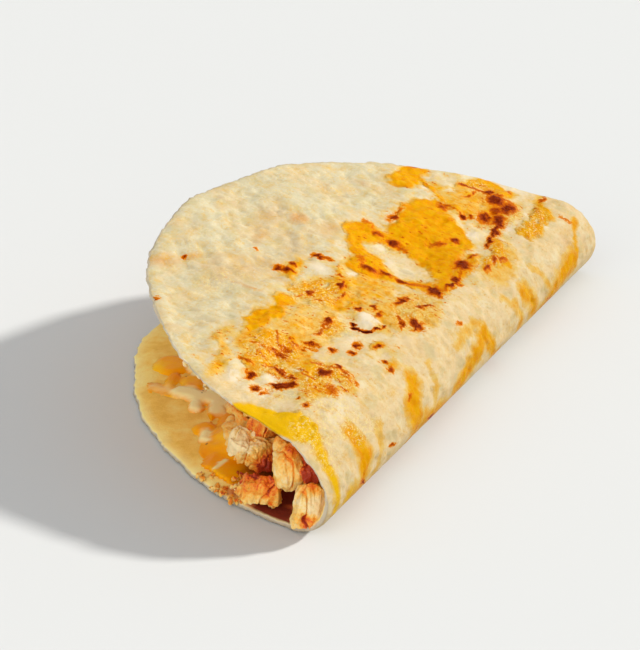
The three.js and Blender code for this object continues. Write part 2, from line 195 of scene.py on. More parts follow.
# Places are (s, t), in millimetres.
# A patch of cheese: how soft its edge is, how thick it is, and the corners of its outline.
CHEESE_PATCHES = (
    # the far end: the wide patch, with its tongue towards the far rim
    (1.2, 1.2, (14.5, 54.8), (17.5, 53.6), (21, 51.8), (20.6, 48.8), (20, 46.6), (24, 46.6), (27.2, 45.6),
     (31, 47.2), (36.8, 48.4), (41.5, 46.8), (44.4, 43.6), (43, 41), (40, 38.4), (37.6, 35), (35.6, 31.6),
     (33, 29.2), (28, 27), (22, 26.8), (17, 26), (11, 24.6), (5.6, 24.6), (6.6, 27.4), (9.4, 29.4),
     (12.6, 31.8), (13.6, 35.5), (15.4, 38.2), (15, 41.4), (13, 44.6), (11.4, 47), (10, 45.4), (8, 42.6),
     (5, 38.8), (3.4, 35.4), (2.4, 31.6), (0.6, 31.4), (-0.6, 35.4), (-0.4, 39.4), (1, 43), (2.6, 45.8),
     (6, 49), (11, 52.4)),
    (1.4, 0.44, (46, 47), (52, 48.5), (57, 45), (62, 41.5), (60, 38), (57, 35), (52, 33), (46, 32.5),
     (42.5, 34), (41.5, 38), (44, 41)),
    (1.2, 0.62, (45, 41), (48, 40), (51, 38), (50, 35), (46, 33), (42.5, 33.6), (41, 37.5)),
    (1, 1.05, (58.8, 43.5), (62.8, 42.2), (66.5, 40.8), (68.5, 38.8), (67.4, 36), (66, 33.4),
     (66.4, 30.6), (63, 31), (61.6, 33), (60.8, 35.6), (59.8, 39.2)),
    (1.4, 0.6, (59, 36), (61, 32), (60, 26), (55, 25.2), (48, 25.4), (44, 25.5), (44, 30), (48, 33),
     (54, 36)),
    (1.1, 1.2, (43.5, 51), (43.5, 55), (46, 57), (50, 57.2), (55, 57), (58.5, 55.5), (59.5, 53.5),
     (58, 51.5), (54, 51.5), (52, 50.3), (48, 50), (45, 50)),
    (0.9, 0.85, (19, 20.5), (22, 19.5), (27, 19), (31, 19.5), (35, 21.5), (38, 24), (41, 26), (37, 26),
     (33, 24.5), (29, 23), (25, 22), (21, 22)),
    (1.6, 0.45, (18, 21), (20, 16), (28, 15), (36, 17), (40, 21), (36, 22), (30, 20)),
    (0.8, 0.9, (46, 21.5), (46.5, 18.5), (50, 17.3), (54, 17.8), (57, 18.5), (60, 18), (63, 17.8),
     (66, 20), (65.5, 22.5), (69, 24), (73, 25.2), (73, 26), (66, 25), (60, 23.4), (56, 22.8), (50, 22.6),
     (47.5, 23)),
    # the strip between the two, round the pale hollow
    (1, 0.95, (-4, 42), (-3.5, 38), (-1.5, 35), (0, 32), (-0.5, 29.5), (0, 27), (0, 24), (2, 22.2),
     (6, 22.2), (11, 22.2), (16, 22.8), (22, 23), (27, 24), (27, 26), (20, 26.6), (14, 26), (9, 25.6),
     (6, 27.5), (4.5, 30.5), (3.5, 34), (5, 38), (6, 42), (4, 45.5), (0, 46.2), (-3, 45.5)),
    (1.4, 0.5, (-16, 42), (-10, 45), (-4, 46), (-2, 40), (-2, 33), (-7, 30), (-13, 32)),
    (1.6, 0.42, (-24, 33), (-16, 34), (-10, 31), (-4, 30), (0, 27), (-2, 22), (-8, 19), (-14, 20.5),
     (-20, 23), (-24, 24.5)),
    # the near end
    (1.1, 1.1, (-46, 46.5), (-44, 49.3), (-40, 50.2), (-36, 50.2), (-33, 49), (-31, 49), (-29, 50.2),
     (-25.5, 50), (-24, 48), (-25.5, 46), (-28.5, 45.2), (-31, 46), (-34, 45), (-38, 44.2), (-42, 44.5)),
    (1.1, 0.6, (-58, 40.5), (-56, 43), (-52, 45), (-49, 47.5), (-46, 49), (-43, 47), (-41.5, 44),
     (-40, 41.5), (-39, 38.8), (-41.5, 37), (-43, 34.5), (-44, 31), (-44.5, 28), (-44, 25.5), (-44.5, 23),
     (-46, 21.3), (-49, 19.5), (-50.5, 18.4), (-50, 20.5), (-51.5, 22.8), (-54, 22.2), (-57, 23.5),
     (-60.5, 25), (-60, 28), (-57, 29), (-55.5, 32), (-56.5, 37)),
    (1.8, 0.3, (-44, 45), (-36, 46), (-28, 46), (-22, 45), (-22, 38), (-26, 33), (-36, 31), (-42, 32),
     (-43, 37)),
    (1, 0.66, (-24, 44), (-23, 48), (-20, 50), (-17, 49), (-14, 47.5), (-11.5, 45), (-9, 45), (-6, 46.3),
     (-3, 45), (-6, 43.5), (-9, 42.5), (-11.5, 40), (-13.5, 37.5), (-14, 34), (-17, 33), (-20, 35),
     (-24, 36.3), (-27, 38.4), (-32, 37.8), (-36, 36.8), (-38, 34.5), (-36, 33), (-31, 32.6), (-27, 33),
     (-25.5, 35), (-23, 38)),
    (0.7, 1, (-70.5, 36), (-73, 32), (-75, 28), (-76, 23.8), (-73.8, 21.2), (-72.2, 18.6), (-72.8, 15),
     (-73.8, 11), (-73.4, 7.5), (-73, 2), (-71.2, 2), (-71.4, 7.5), (-71, 10.5), (-70.8, 13.5), (-70, 16),
     (-68, 18), (-65.8, 20.5), (-65, 24), (-66.4, 28), (-67.2, 33)),
    (1.2, 0.7, (-65, 45.5), (-63, 46.8), (-58, 46.5), (-56, 44.8), (-58, 43.5), (-63, 43.8)),
    (1.2, 0.9, (-18, 50), (-16, 55), (-12, 55.5), (-8, 55), (-9, 52.5), (-13, 51)),
    (0.8, 0.45, (-60, 46.8), (-55, 49.6), (-52, 52.2), (-46, 52.2), (-46.5, 49.8), (-50.5, 49),
     (-53.5, 47.2), (-59, 45.4)),
    (0.9, 0.8, (-32, 24.6), (-29.5, 25), (-28, 23.4), (-30, 22.6)),
    (0.9, 0.6, (-36, 18.5), (-34, 20.6), (-31.8, 20), (-32, 18), (-34, 17.4)),
)
# A run of cheese down the fold: its half width, how thick it is, and the line it follows.
CHEESE_RUNS = (
    (0.9, 0.95, (53, 51), (51, 49.2), (49.8, 46.8), (47, 43.8), (45.5, 42)),
    (1.2, 1, (38, 24.5), (34.5, 22), (32, 20), (29.8, 18)),
    (2.4, 0.9, (-59.5, 13.5), (-59, 9), (-60.5, 3), (-62, -2)),
    (2.6, 0.85, (-66, 2), (-56, -2.5), (-45, -4), (-32, -5)), (1.6, 0.6, (-70, -2), (-60, -6), (-46, -8)),
    (2.6, 0.95, (-31.5, 13), (-35.5, 8.5), (-34.5, 3), (-36, -3)),
    (2.4, 0.9, (-30, 3.4), (-22, 0.5), (-13, -3), (-6, -4)),
    (2.2, 0.9, (-13, 2.4), (-6, 5), (-1, 7.2), (1.5, 9)),
    (1.8, 0.85, (3.5, 10), (5.5, 6.5), (10, 1), (14, -3)), (1.2, 0.5, (-10, 11.5), (-4, 12.8), (3, 13)),
    (2.4, 0.75, (28.5, 10), (31, 6.5), (35, 1)), (1.2, 0.55, (22, 9), (24, 4), (27, 0)),
    (2.8, 1, (44, 3.6), (49, 4.6), (56, 6.4), (59, 7)), (2, 0.7, (36, -1), (44, 1.5), (50, 1)),
    (0.9, 0.8, (69.5, 14.5), (66, 12), (63.2, 10), (61.5, 5)), (1, 0.45, (18, 13), (21, 8), (24, 2)),
    (1, 0.4, (-50, 12), (-52, 6), (-55, 0)), (0.9, 0.4, (-22, 14), (-24, 8), (-27, 3)),
    (1, 0.4, (38, 13), (41, 8), (45, 3)),
)

# Each oval: (s, t, half length, half width, turn in degrees, strength in the middle).
# Pale islands where the cheese is missing.
BARE = (
    (8.6, 35.6, 3.2, 5.6, -32, 1.1), (12.4, 44, 1.4, 2.4, 10, 0.9), (35, 29, 3.4, 2.2, 10, 1.3),
    (46.5, 24.4, 4.4, 1.6, 15, 1.2), (57.4, 20.4, 2, 1.3, 0, 1.1), (57, 17.7, 2.2, 1, 0, 1),
    (40.5, 36.6, 2.4, 1.3, 0, 0.5), (57, 45.5, 5, 2.6, 0, 0.7), (52, 43.2, 3.4, 1.8, 0, 0.5),
    (69, 33, 3.2, 4.6, 0, 1.2), (-57.4, 34.9, 2.2, 2.8, 0, 1), (-51.2, 33, 1.4, 2.4, 0, 0.8),
    (-50.4, 24.2, 1.2, 1.6, 0, 0.8), (-41, 30.5, 4, 2.8, 0, 0.9), (-58.5, 42, 4, 1.4, 40, 1.1),
    (-15.2, 44.6, 2, 1.2, 0, 0.9), (-22.5, 30, 4.2, 3.4, 0, 1.4), (-35, 29.5, 4, 2, 20, 0.8),
    (-9, 48.6, 2.6, 2.6, 0, 0.9), (-5.5, 42.4, 3, 1.8, 0, 0.7), (-18.6, 37.2, 2, 1.2, 20, 0.4),
    (-48.5, 42, 1.6, 0.8, 70, 0.5),
)
# Whiter places: flaked skin and dry flour, and painted highlights on the tops of blisters and on the curled
# flake.
PALE_AND_HIGHLIGHTS = (
    (-21.6, 30.2, 5.2, 3, 10, 1.2), (-57.5, 35, 2.6, 3, 0, 1), (-61, 41, 4, 2.4, 40, 0.8),
    (-51.2, 33, 1.4, 2.2, 0, 0.9), (-9, 48.6, 3.2, 3.2, 0, 0.7), (-5.5, 42, 3, 2.6, 0, 0.7),
    (-3, 25, 3, 1.6, 0, 0.9), (-57, 19, 9, 5, 10, 0.45), (-63, 33, 4, 6, 0, 0.6),
    (12.8, 44, 1.6, 2.4, 0, 1), (35.6, 29.5, 3, 2.4, 0, 1.1), (46.5, 24.6, 3.4, 1.4, 15, 1.1),
    (58, 20.3, 1.8, 1.2, 0, 1), (57, 18, 2.4, 1.2, 0, 0.7), (58, 24, 4, 1.2, 0, 0.7),
    (8, 39, 2.4, 2, 0, 0.5), (-33, 28.6, 4, 1.4, 25, 0.6), (5, 50, 2, 3, 0, 0.5),
    (48, 48, 2, 2.4, 0, 0.6), (66, 44, 4, 3, -40, 0.5), (69, 32, 3, 5, 0, 0.5),
)
# Browned and charred spots. A strength near 1 is charred, and near 0.6 red-brown.
BROWNED = (
    (-58.8, 32.5, 1.5, 1.2, 0, 1.25), (-58, 31.5, 1.4, 1.1, 0, 1.2), (-56.8, 30.7, 1.6, 1, 20, 1.1),
    (-48.6, 27.2, 1.9, 1.6, 30, 1.02), (-44.1, 26.4, 1, 0.8, 35, 0.95),
    (-53.2, 23.6, 2.3, 1.9, 30, 0.5), (-48.4, 38, 1.2, 0.8, 70, 0.75), (-46, 37.6, 1.4, 1, 60, 0.55),
    (-28.6, 36.2, 1.5, 0.9, 12, 1.2), (-31, 36, 1.8, 0.9, 0, 0.6), (-34.8, 35.8, 1.6, 0.7, 0, 0.62),
    (-40.3, 35, 0.8, 0.7, 0, 1), (-38.8, 30.4, 1.2, 0.8, 20, 0.95), (-20.6, 45, 1.9, 0.9, 20, 0.72),
    (-60.9, 27, 0.5, 0.4, 0, 0.7), (-62.2, 30, 0.7, 0.4, 40, 0.7), (-33.2, 27.5, 1.5, 0.9, 15, 1.05),
    (-36.7, 26.8, 1, 0.9, 0, 0.8), (-58.4, 38.9, 1.5, 1, 30, 1), (-62.2, 35.8, 1, 0.8, 0, 0.95),
    (-62.4, 33.6, 1, 0.5, 0, 0.75), (-62.4, 24.4, 1.2, 0.8, 0, 0.9), (-12.6, 41.1, 1.5, 0.9, 30, 1.1),
    (-16.4, 39.1, 1.6, 0.5, 0, 0.85), (-9, 43.5, 1.5, 0.7, 45, 0.7), (-14.4, 55.8, 0.9, 1.1, 0, 1.2),
    (-13.9, 53.6, 1.1, 2.2, -5, 0.85), (-11.2, 53.7, 1.5, 0.7, 20, 0.75), (-3.8, 51.2, 1, 1.2, 0, 1.3),
    (-3.4, 49, 0.8, 1.6, 10, 0.7), (-19.2, 33.7, 1, 0.8, 0, 1.1), (-15.6, 31.8, 1.7, 0.7, 10, 0.9),
    (-18.2, 29.4, 2, 0.9, 0, 0.7), (-8.4, 28.6, 3, 0.7, -4, 1), (-5.6, 27.6, 1.2, 0.5, -30, 0.85),
    (-30, 23.9, 1.5, 0.7, -25, 0.8), (-14.4, 22.2, 1.4, 2.2, -20, 0.95),
    (-15.2, 21.4, 2.8, 0.6, -5, 0.85), (-18, 24, 2.8, 0.5, 25, 0.75), (-15.8, 25.7, 2.2, 0.5, 30, 0.65),
    (-5, 23.4, 1.7, 0.8, -45, 0.95), (-7.2, 24.4, 1.1, 1.1, 0, 0.7), (-34.5, 18.3, 1.1, 0.9, 0, 0.68),
    (-33.3, 20.1, 1, 0.7, 0, 0.72), (-3.5, 15.3, 1.5, 0.5, 0, 0.68), (-35.3, 10.8, 1.4, 0.7, 30, 0.55),
    (-0.4, 40.4, 1.4, 2.2, 0, 0.9), (1.5, 36.6, 1, 2.1, -10, 0.85), (1.3, 32.4, 0.8, 1.9, 10, 0.95),
    (2.9, 25.3, 2.8, 2.1, 30, 0.92), (2, 24, 1.5, 0.8, 10, 1.2), (3.4, 26.6, 1.7, 0.8, 25, 1.1),
    (8, 23.1, 2.6, 0.7, -18, 0.9), (11.2, 23.4, 1.6, 0.8, 30, 1), (16.9, 42.2, 1.8, 1.8, 0, 0.95),
    (17.8, 46.6, 1.5, 1.6, 30, 0.7), (28.5, 47.3, 2.4, 1.2, 0, 0.8), (18.8, 25.2, 3.2, 2.2, 0, 1),
    (24, 33.6, 2.6, 1.8, -30, 0.56), (28.8, 31.4, 1.6, 1.2, 0, 0.8), (42.6, 40.6, 2.6, 1.9, 20, 0.6),
    (42.5, 35.2, 1.1, 0.8, 0, 0.95), (44.3, 33.4, 0.8, 0.7, 0, 0.7), (57.4, 32.6, 3.2, 2.7, 0, 1.05),
    (55.8, 28.6, 3.6, 2.2, 0, 0.86), (47.4, 31.2, 3.2, 1.7, 20, 0.84), (48, 27.8, 3.8, 1.8, 20, 0.92),
    (52.4, 30.4, 2.6, 1.7, 0, 0.66), (30, 19.4, 2, 1.3, -30, 0.5), (43.6, 26.6, 3.4, 1, 20, 0.95),
    (60.4, 35.6, 1.8, 1.1, 0, 1), (59.2, 41.4, 1, 2, 10, 0.7), (37, 25.4, 2.4, 0.8, 15, 1.15),
    (40.4, 25.8, 2.6, 0.6, 10, 0.9), (33.5, 24.7, 1.8, 0.6, 15, 0.75), (22.5, 20.3, 2.6, 0.7, 8, 0.7),
    (28, 21, 2, 0.7, 20, 0.62), (65.5, 31.8, 1.4, 0.9, 0, 0.55), (70.5, 24.4, 4.4, 0.4, 8, 0.68),
    (57.6, 55.3, 1.8, 0.6, -45, 0.62), (66.5, 16.2, 0.8, 2.6, 20, 0.45), (-25.7, 73.4, 0.7, 0.6, 0, 1),
    (-46, 68, 0.8, 0.5, 30, 1), (-11.2, 63, 0.5, 0.5, 0, 0.9), (-60, 2.6, 3, 0.5, -35, 0.8),
    (-47, 5.2, 1.8, 0.5, -10, 0.75), (-26, 1.5, 4.5, 0.6, -30, 0.8), (14, -3, 4, 0.5, -25, 0.6),
    (44, 2, 4, 0.5, -25, 0.55),
)
# Thin browned lines across the band: half width, strength and the line they follow.
SCORED = (
    (0.35, 0.9, (-48.5, 43.8), (-48.5, 41.2), (-49, 39)),
    (0.6, 0.95, (-48, 39.5), (-48.8, 37.5), (-49, 36)),
    (0.35, 0.8, (-47.2, 40.2), (-47.6, 38), (-47.8, 36.2)), (0.45, 0.65, (-46.2, 38.8), (-45.8, 36.8)),
    (0.3, 0.9, (-41.8, 38.8), (-43, 37.2), (-43.2, 34.8)), (0.3, 0.75, (-43.4, 38), (-44.2, 36.2)),
    (0.35, 0.9, (-40.8, 36), (-39.8, 33)), (0.3, 0.75, (-42.2, 35.6), (-41.2, 32.8)),
    (0.3, 0.75, (-54.8, 43.8), (-55.8, 40.2)),
    (0.6, 1, (-53.5, 37.5), (-53.5, 36.2), (-54.2, 33.8), (-55, 31.2)),
    (0.35, 0.85, (-52.8, 36.6), (-53.2, 34.4), (-54, 32)), (0.3, 0.7, (-55.4, 36.4), (-55.8, 34)),
    (0.7, 0.62, (-47.8, 31.8), (-46.2, 29.2), (-45.8, 27.5)),
    (0.6, 0.66, (-45.8, 27.5), (-45, 25.2), (-45.8, 23), (-46.6, 20.8)),
    (0.4, 0.66, (-46.6, 24.6), (-47, 22.2)), (0.3, 0.8, (-44.2, 24.2), (-44.6, 22.6)),
    (0.4, 0.7, (-32.2, 36.2), (-34.4, 35.4), (-36.4, 35.8)), (0.3, 0.8, (-50, 22.8), (-50.2, 21.5)),
    (0.35, 0.7, (-62.2, 36.8), (-62.2, 35)), (0.35, 0.7, (-61.5, 34.2), (-62, 32.8)),
    (0.3, 0.7, (-37.5, 27.2), (-36.5, 25.8)), (0.3, 0.7, (-22.2, 42.8), (-22, 41)),
    (0.3, 0.7, (-41.6, 42), (-44.2, 40.2), (-47, 38)), (0.3, 0.7, (-52, 30.8), (-52.4, 27.6)),
    (0.3, 0.7, (-50.6, 32.2), (-51, 29.6)), (0.3, 0.65, (-55.2, 27.6), (-55, 25)),
    (0.3, 0.65, (-57.6, 28.4), (-57.4, 26.2)), (0.3, 0.65, (-50.8, 41.4), (-51.4, 38.8)),
    (0.3, 0.65, (-45, 34.4), (-44.8, 32.4)), (0.3, 0.6, (-38, 36.2), (-33.6, 35.4), (-29, 36.4)),
    (1.4, 0.5, (21, 51.3), (18.8, 48.5), (17.6, 45.8), (16.8, 42), (15.8, 38.4)),
    (0.5, 0.75, (16.8, 42.4), (16.2, 40), (15.6, 37.6)),
    (1.3, 0.52, (3, 44), (0.4, 41.6), (0, 39), (1.4, 36.6), (1.6, 34), (1.2, 31.6), (2.4, 29.4),
     (3.4, 27.6)),
    (0.4, 0.9, (1.6, 34.2), (1.2, 31.2), (2, 30)), (0.7, 0.55, (25.6, 47.6), (30, 47.4), (36, 48.2)),
    (0.4, 0.85, (44.4, 42.4), (43.6, 40.2), (44, 38.4)), (0.4, 0.65, (43.8, 38), (43, 36), (43.4, 33.8)),
    (0.5, 0.85, (24, 25.2), (27.6, 24.8)), (0.6, 0.85, (12.6, 25.2), (11.2, 23.2), (10.4, 21.6)),
    (0.6, 0.65, (4.6, 23.4), (8, 22.4), (11, 21.4)),
    (0.7, 0.8, (59.2, 43), (59.5, 39), (60.5, 35.2), (61.2, 32.4)),
    (0.5, 0.8, (52.2, 39.2), (55.2, 38.5), (58, 38.5)), (1, 0.55, (59, 36), (60.4, 31), (58.6, 26.8)),
    (0.9, 0.55, (44, 31.6), (45.6, 28.8), (49, 26.2)),
    (0.5, 0.66, (5, 23.6), (9, 22.8), (13, 23.4), (17, 24.2)),
    (0.5, 0.62, (34, 24.6), (38, 25.6), (43, 26.4)), (0.3, 0.5, (27, 41.5), (26.2, 39.6), (25.5, 38.5)),
    (0.4, 0.6, (-24, 46.4), (-21.6, 45.6), (-18.6, 45)),
    (0.3, 0.6, (-19.6, 40.2), (-17, 39), (-14.4, 39.6)),
    (0.3, 0.7, (-12, 29.6), (-8, 28.4), (-4.6, 28.8)),
    (0.24, 0.3, (-28.8, 50), (-28.4, 54), (-28.8, 59), (-28.2, 62)),
)
# Painted shadow: the dark gap under the edge of a flake that has curled up, drawn as near-black browning.
CURL_SHADOW = (
    (-25.6, 32.2, 1, 0.6, 45, 1.6), (-26.6, 31, 0.7, 1.1, -20, 1.8), (-26.7, 29.6, 0.6, 1.2, 5, 1.8),
    (-25.8, 28.2, 1.3, 0.6, -50, 1.7), (-23.8, 27, 1.5, 0.5, -25, 1.3), (-21.4, 26.4, 1.5, 0.5, 0, 1),
)
CHARRED_AT_MOST = 0.82
# The broad bump near the open end, and the curled flake.
RAISED = ((-51.5, 45, 11.5, 8, 12, 1),)
FLAKE = ((-22.4, 30, 4.4, 3.4, 10, 1),)
# Softly toasted, tan patches.
TOASTED = (
    (8, 62.5, 3.6, 2.8, 0, 1.1), (-20, 60, 16, 9, -30, 0.3), (4, 68, 9, 5, 0, 0.34),
    (10, 55, 8, 4, 0, 0.34), (-30, 76, 6, 3, -30, 0.7), (-4, 57, 10, 6, 20, 0.26),
    (-24, 72, 3.4, 1.6, -30, 0.8), (-28.5, 56, 0.9, 7, 0, 0.6), (-19, 54, 2.4, 4.5, -10, 0.45),
    (-5, 65, 6, 2.4, 10, 0.5), (5, 52.5, 4, 1.2, 25, 0.35), (33, 77, 6, 1.6, -25, 0.55),
    (-14, 60, 3, 4, 20, 0.35), (27, 66, 7, 3, 10, 0.25), 
    (38, 60, 2, 4, 10, 0.35), (60, 12, 6, 4, 30, 0.3), (-50, 51.4, 6, 0.6, 0, 0.5),
    (-57.5, 48, 0.7, 3, -35, 0.45),
)
# Sauce and fat on the inner side, and painted shadow in the deep gaps of the open end, drawn as the darkest
# stain.
SAUCE_AND_SHADOW = (
    (-72, -14, 5, 8, 10, 1.3), (-66, -18, 8, 8, 0, 1.2), (-60, -22, 8, 6, 0, 1),
    (-74.5, -12, 3, 12, 0, 0.9), (-70, -24, 4, 3, 0, 0.5), (-64, -18, 8, 6, 0, 1.6),
    (-66.5, -13.5, 4, 4.5, 0, 2), (-74, -14, 4, 6, 0, 1.4), (64, -16, 12, 12, 0, 0.6),
    (-60, 20, 18, 12, 0, 0.5),
)
# Greasy places: glossier, and scattered with painted glints of light.
GREASY = (
    (-57, 33, 10, 8, 0, 1), (-48, 40, 8, 7, 0, 1), (-49, 26, 8, 7, 0, 0.9), (-60, 20, 10, 9, 0, 1.1),
    (-70, 17, 5, 9, 0, 1.1), (-55, 13, 9, 4, 0, 0.6), (-20, 44, 10, 8, 0, 0.8), (-30, 34, 12, 6, 0, 0.6),
    (-10, 25, 14, 6, 0, 0.6), (12, 43, 4, 4, 0, 0.6), (30, 22, 12, 5, 0, 0.5), (55, 22, 12, 7, 0, 0.8),
    (40, 27, 10, 5, 0, 0.6), (62, 40, 6, 8, 0, 0.5), (-30, 62, 16, 8, 0, 0.35),
)
# Melted cheese on the inner side of the lower half.
MELTED = (
    (-64.5, -29.5, 6.5, 3.4, -12, 1), (-60, -30.5, 12, 6, -8, 1),
    (-52, -33, 11, 8, 0, 1), (-52, -37.4, 9, 3.2, -12, 1), (-43, -38.6, 8, 4.4, -10, 1),
    (-50.5, -42.6, 3.2, 2.6, 0, 0.8), (-43.5, -45, 5, 0.9, -28, 0.8), (-33.5, -50.6, 8.5, 1.9, -32, 0.9),
    (-33.5, -55.2, 4.6, 3.2, -35, 0.9), (-35, -60, 5.4, 1.7, -15, 0.7), (-28, -64, 5.5, 4.6, -20, 1),
    (-64, -22, 6, 5, 0, 0.6), (4, -34, 50, 24, 0, 1.4), (-30, -36, 24, 12, -15, 1.2),
    (50, -28, 16, 16, 0, 0.9), (24, -50, 20, 6, 14, 0.7), (-10, -54, 18, 7, -6, 0.7),
)
# Where it is heaped over the near corner of the filling.
MOUND = ((-46, -28, 15, 12, 20, 1),)
MOUND_HEIGHT = 11
# Pale shreds of a whiter cheese, half melted into it: half width, height and the line they follow.
STRANDS = (
    (1.9, 0.32, (-39.5, -62), (-39.5, -59.8), (-39.2, -57.6)),
    (2.1, 1, (-38.6, -55.6), (-38.4, -53), (-38.9, -50.4)),
    (1.3, 0.9, (-38.9, -51), (-41.5, -50), (-44, -48.6)),
    (1.6, 1.1, (-32.8, -51), (-35.8, -49), (-38.8, -46.5), (-42.8, -43.8)),
    (1.2, 1, (-33.5, -46.5), (-36.2, -45), (-39.2, -43.5)), (1.4, 0.9, (-36.2, -49.4), (-38.9, -48.2)),
    (1.2, 0.9, (-52.2, -41), (-55, -39.8)), (1.1, 1, (-26.2, -61), (-28, -58), (-30.2, -55.8)),
    (0.5, 1, (-65.2, -31.5), (-61.2, -31.2)), (1.3, 0.8, (-21, -57), (-17, -54.5), (-16, -51)),
    (1, 0.7, (4, -52), (9, -53), (11, -56)),
)


def ovals(s, t, items, grown=1):
    """The strongest of the ovals at each point: strength in its middle, 0 at its edge."""
    strongest = np.full_like(s, -1)
    for s0, t0, along, across, turn, strength in items:
        angle = math.radians(turn)
        u = (s - s0) * math.cos(angle) + (t - t0) * math.sin(angle)
        v = (t - t0) * math.cos(angle) - (s - s0) * math.sin(angle)
        distance = np.sqrt((u / along) ** 2 + (v / across) ** 2) / grown
        strongest = np.maximum(strongest, strength * (1 - distance))
    return strongest


def blots(s, t, items):
    """Like ovals, but a dome over each oval, nearly as strong half way out as in the middle."""
    strongest = np.zeros_like(s)
    for item in items:
        inside = np.maximum(ovals(s, t, (item[:5] + (1,),)), 0)
        strongest = np.maximum(strongest, item[5] * smooth(inside, -0.2, 0.8) * (inside > 0))
    return strongest


def distance_to(s, t, corners, closed=False):
    """The distance from each point to a line through the corners, in millimetres."""
    nearest = np.full_like(s, np.inf)
    ends = corners[1:] + corners[:1] if closed else corners[1:]
    for (s0, t0), (s1, t1) in zip(corners, ends):
        along_s, along_t = s1 - s0, t1 - t0
        share = ((s - s0) * along_s + (t - t0) * along_t) / (along_s**2 + along_t**2)
        share = np.clip(share, 0, 1)
        nearest = np.minimum(nearest, np.hypot(s - s0 - share * along_s, t - t0 - share * along_t))
    return nearest


def depth_inside(s, t, corners):
    """How far inside a closed outline each point lies, in millimetres; negative outside it."""
    inside = np.zeros(s.shape, bool)
    for (s0, t0), (s1, t1) in zip(corners, corners[1:] + corners[:1]):
        if t0 == t1:
            continue
        crossing = (t0 > t) != (t1 > t)
        inside ^= crossing & (s < s0 + (t - t0) * (s1 - s0) / (t1 - t0))
    return np.where(inside, 1, -1) * distance_to(s, t, corners, closed=True)


def drifted(s, t, layer, size, reach, seed):
    """s and t pushed about by noise, so that what is drawn there gets a ragged outline."""
    points = flat_points(s, t, layer)
    return s + reach * noise(points, size, seed), t + reach * noise(points, size, seed + 7)


def cheese_field(s, t):
    """How thick the browned cheese is: 0 and below none, 1 thick."""
    a, b = drifted(*drifted(s, t, 3, 5, 1.5, 41), 5, 1.8, 0.9, 46)
    amount = np.full_like(s, -0.4)
    for softness, strength, *corners in CHEESE_PATCHES:
        depth = depth_inside(a, b, corners) / (2.1 * softness)
        amount = np.maximum(amount, strength * (smooth(depth, -1, 1) * 1.4 - 0.4))
    for width, strength, *corners in CHEESE_RUNS:
        depth = 1 - distance_to(a, b, corners) / (1.5 * width)
        amount = np.maximum(amount, 0.9 * strength * (smooth(depth, -0.5, 0.9) * 1.4 - 0.4))
    amount = amount - 1.3 * np.maximum(ovals(a, b, BARE), 0)
    return amount + 0.22 * noise(flat_points(s, t, 4), 2.4, 44)


def heat_field(s, t):
    """How browned the outside is: 0 not at all, 0.8 charred, 1 and more black."""
    a, b = drifted(s, t, 7, 1.2, 1, 51)
    brown = 0.7 * blots(a, b, BROWNED) + 0.34 * np.clip(ovals(a, b, BROWNED, 2.4), 0, 1)
    a, b = drifted(s, t, 8, 1.6, 0.6, 53)
    broken = smooth(noise(flat_points(s, t, 9), 1.5, 55, octaves=2), -0.4, 0.15)
    for width, strength, *corners in SCORED:
        away = distance_to(a, b, corners)
        line = 0.75 * lerp(0.4, 1, broken) * smooth(away, 1.5 * width, 0.2 * width)
        halo = 0.3 * smooth(away, 0.9 + width, 0.2)
        brown = np.maximum(brown, strength * np.maximum(line, halo))
    # The curled flake's painted shadow goes on top of the browning, past black.
    return np.minimum(brown, CHARRED_AT_MOST) + 0.9 * blots(a, b, CURL_SHADOW)


def griddled(s, t):
    """How near a point is to the band that lay on the griddle, from 0 to 1."""
    across = smooth(t, 14, 22) * (1 - smooth(t, 50, 57))
    along = smooth(s, -68, -60) * (1 - smooth(s, 62, 70))
    return across * along


def soft(s, t, items, layer, seed):
    a, b = drifted(s, t, layer, 3, 0.7, seed)
    return np.clip(ovals(a, b, items) * 1.6, 0, 1)


def blisters(s, t):
    """The outer skin's own relief, in millimetres: soft blisters, puckers and grain."""
    points = flat_points(s, t, 11)
    broad = 0.30 * noise(points, 9, 61, octaves=2)
    lumps = 0.6 * noise(points, 4.2, 63, octaves=2)
    grain = 0.15 * noise(points, 1.3, 65, octaves=2)
    pits = -0.3 * smooth(noise(points, 2.2, 67, octaves=2), 0.2, 0.6)
    raised = 0.7 * smooth(ovals(s, t, RAISED), 0, 0.5)
    flake = np.clip(ovals(s, t, FLAKE), 0, 1)
    curl = 0.8 * np.sqrt(flake) * smooth(flake, 0, 0.25)
    creased = smooth(np.abs(noise(points, 7, 69)), 0.1, 0) * (1 - griddled(s, t))
    upper = smooth(t, -2, 8)
    relief = broad + lumps + pits - 0.3 * creased + raised + curl
    return upper * relief + grain * lerp(0.5, 1, upper)


# ---- Meshes ----


def add_object(name, data):
    """A new object in the scene."""
    made = bpy.data.objects.new(name, data)
    bpy.context.scene.collection.objects.link(made)
    return made


def new_mesh(name, points, faces, material, attributes):
    """A smooth mesh object from points in millimetres in the fold's frame."""
    mesh = bpy.data.meshes.new(name)
    mesh.from_pydata(in_row_frame(points).tolist(), [], faces)
    for key, values in attributes.items():
        is_vector = values.ndim == 2
        layer = mesh.attributes.new(key, "FLOAT_VECTOR" if is_vector else "FLOAT", "POINT")
        field = "vector" if is_vector else "value"
        layer.data.foreach_set(field, np.ascontiguousarray(values, np.float32).ravel())
    mesh.shade_smooth()
    mesh.materials.append(material)
    mesh.validate()
    return add_object(name, mesh)


def settle(piece, slot, *nodes):
    """Put a finished piece into the frame: it rides on the one body and stands for the nodes."""
    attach(piece, "root")
    if nodes:
        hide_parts(*nodes)


def face_outwards(piece):
    work = bmesh.new()
    work.from_mesh(piece.data)
    bmesh.ops.recalc_face_normals(work, faces=work.faces)
    work.to_mesh(piece.data)
    work.free()


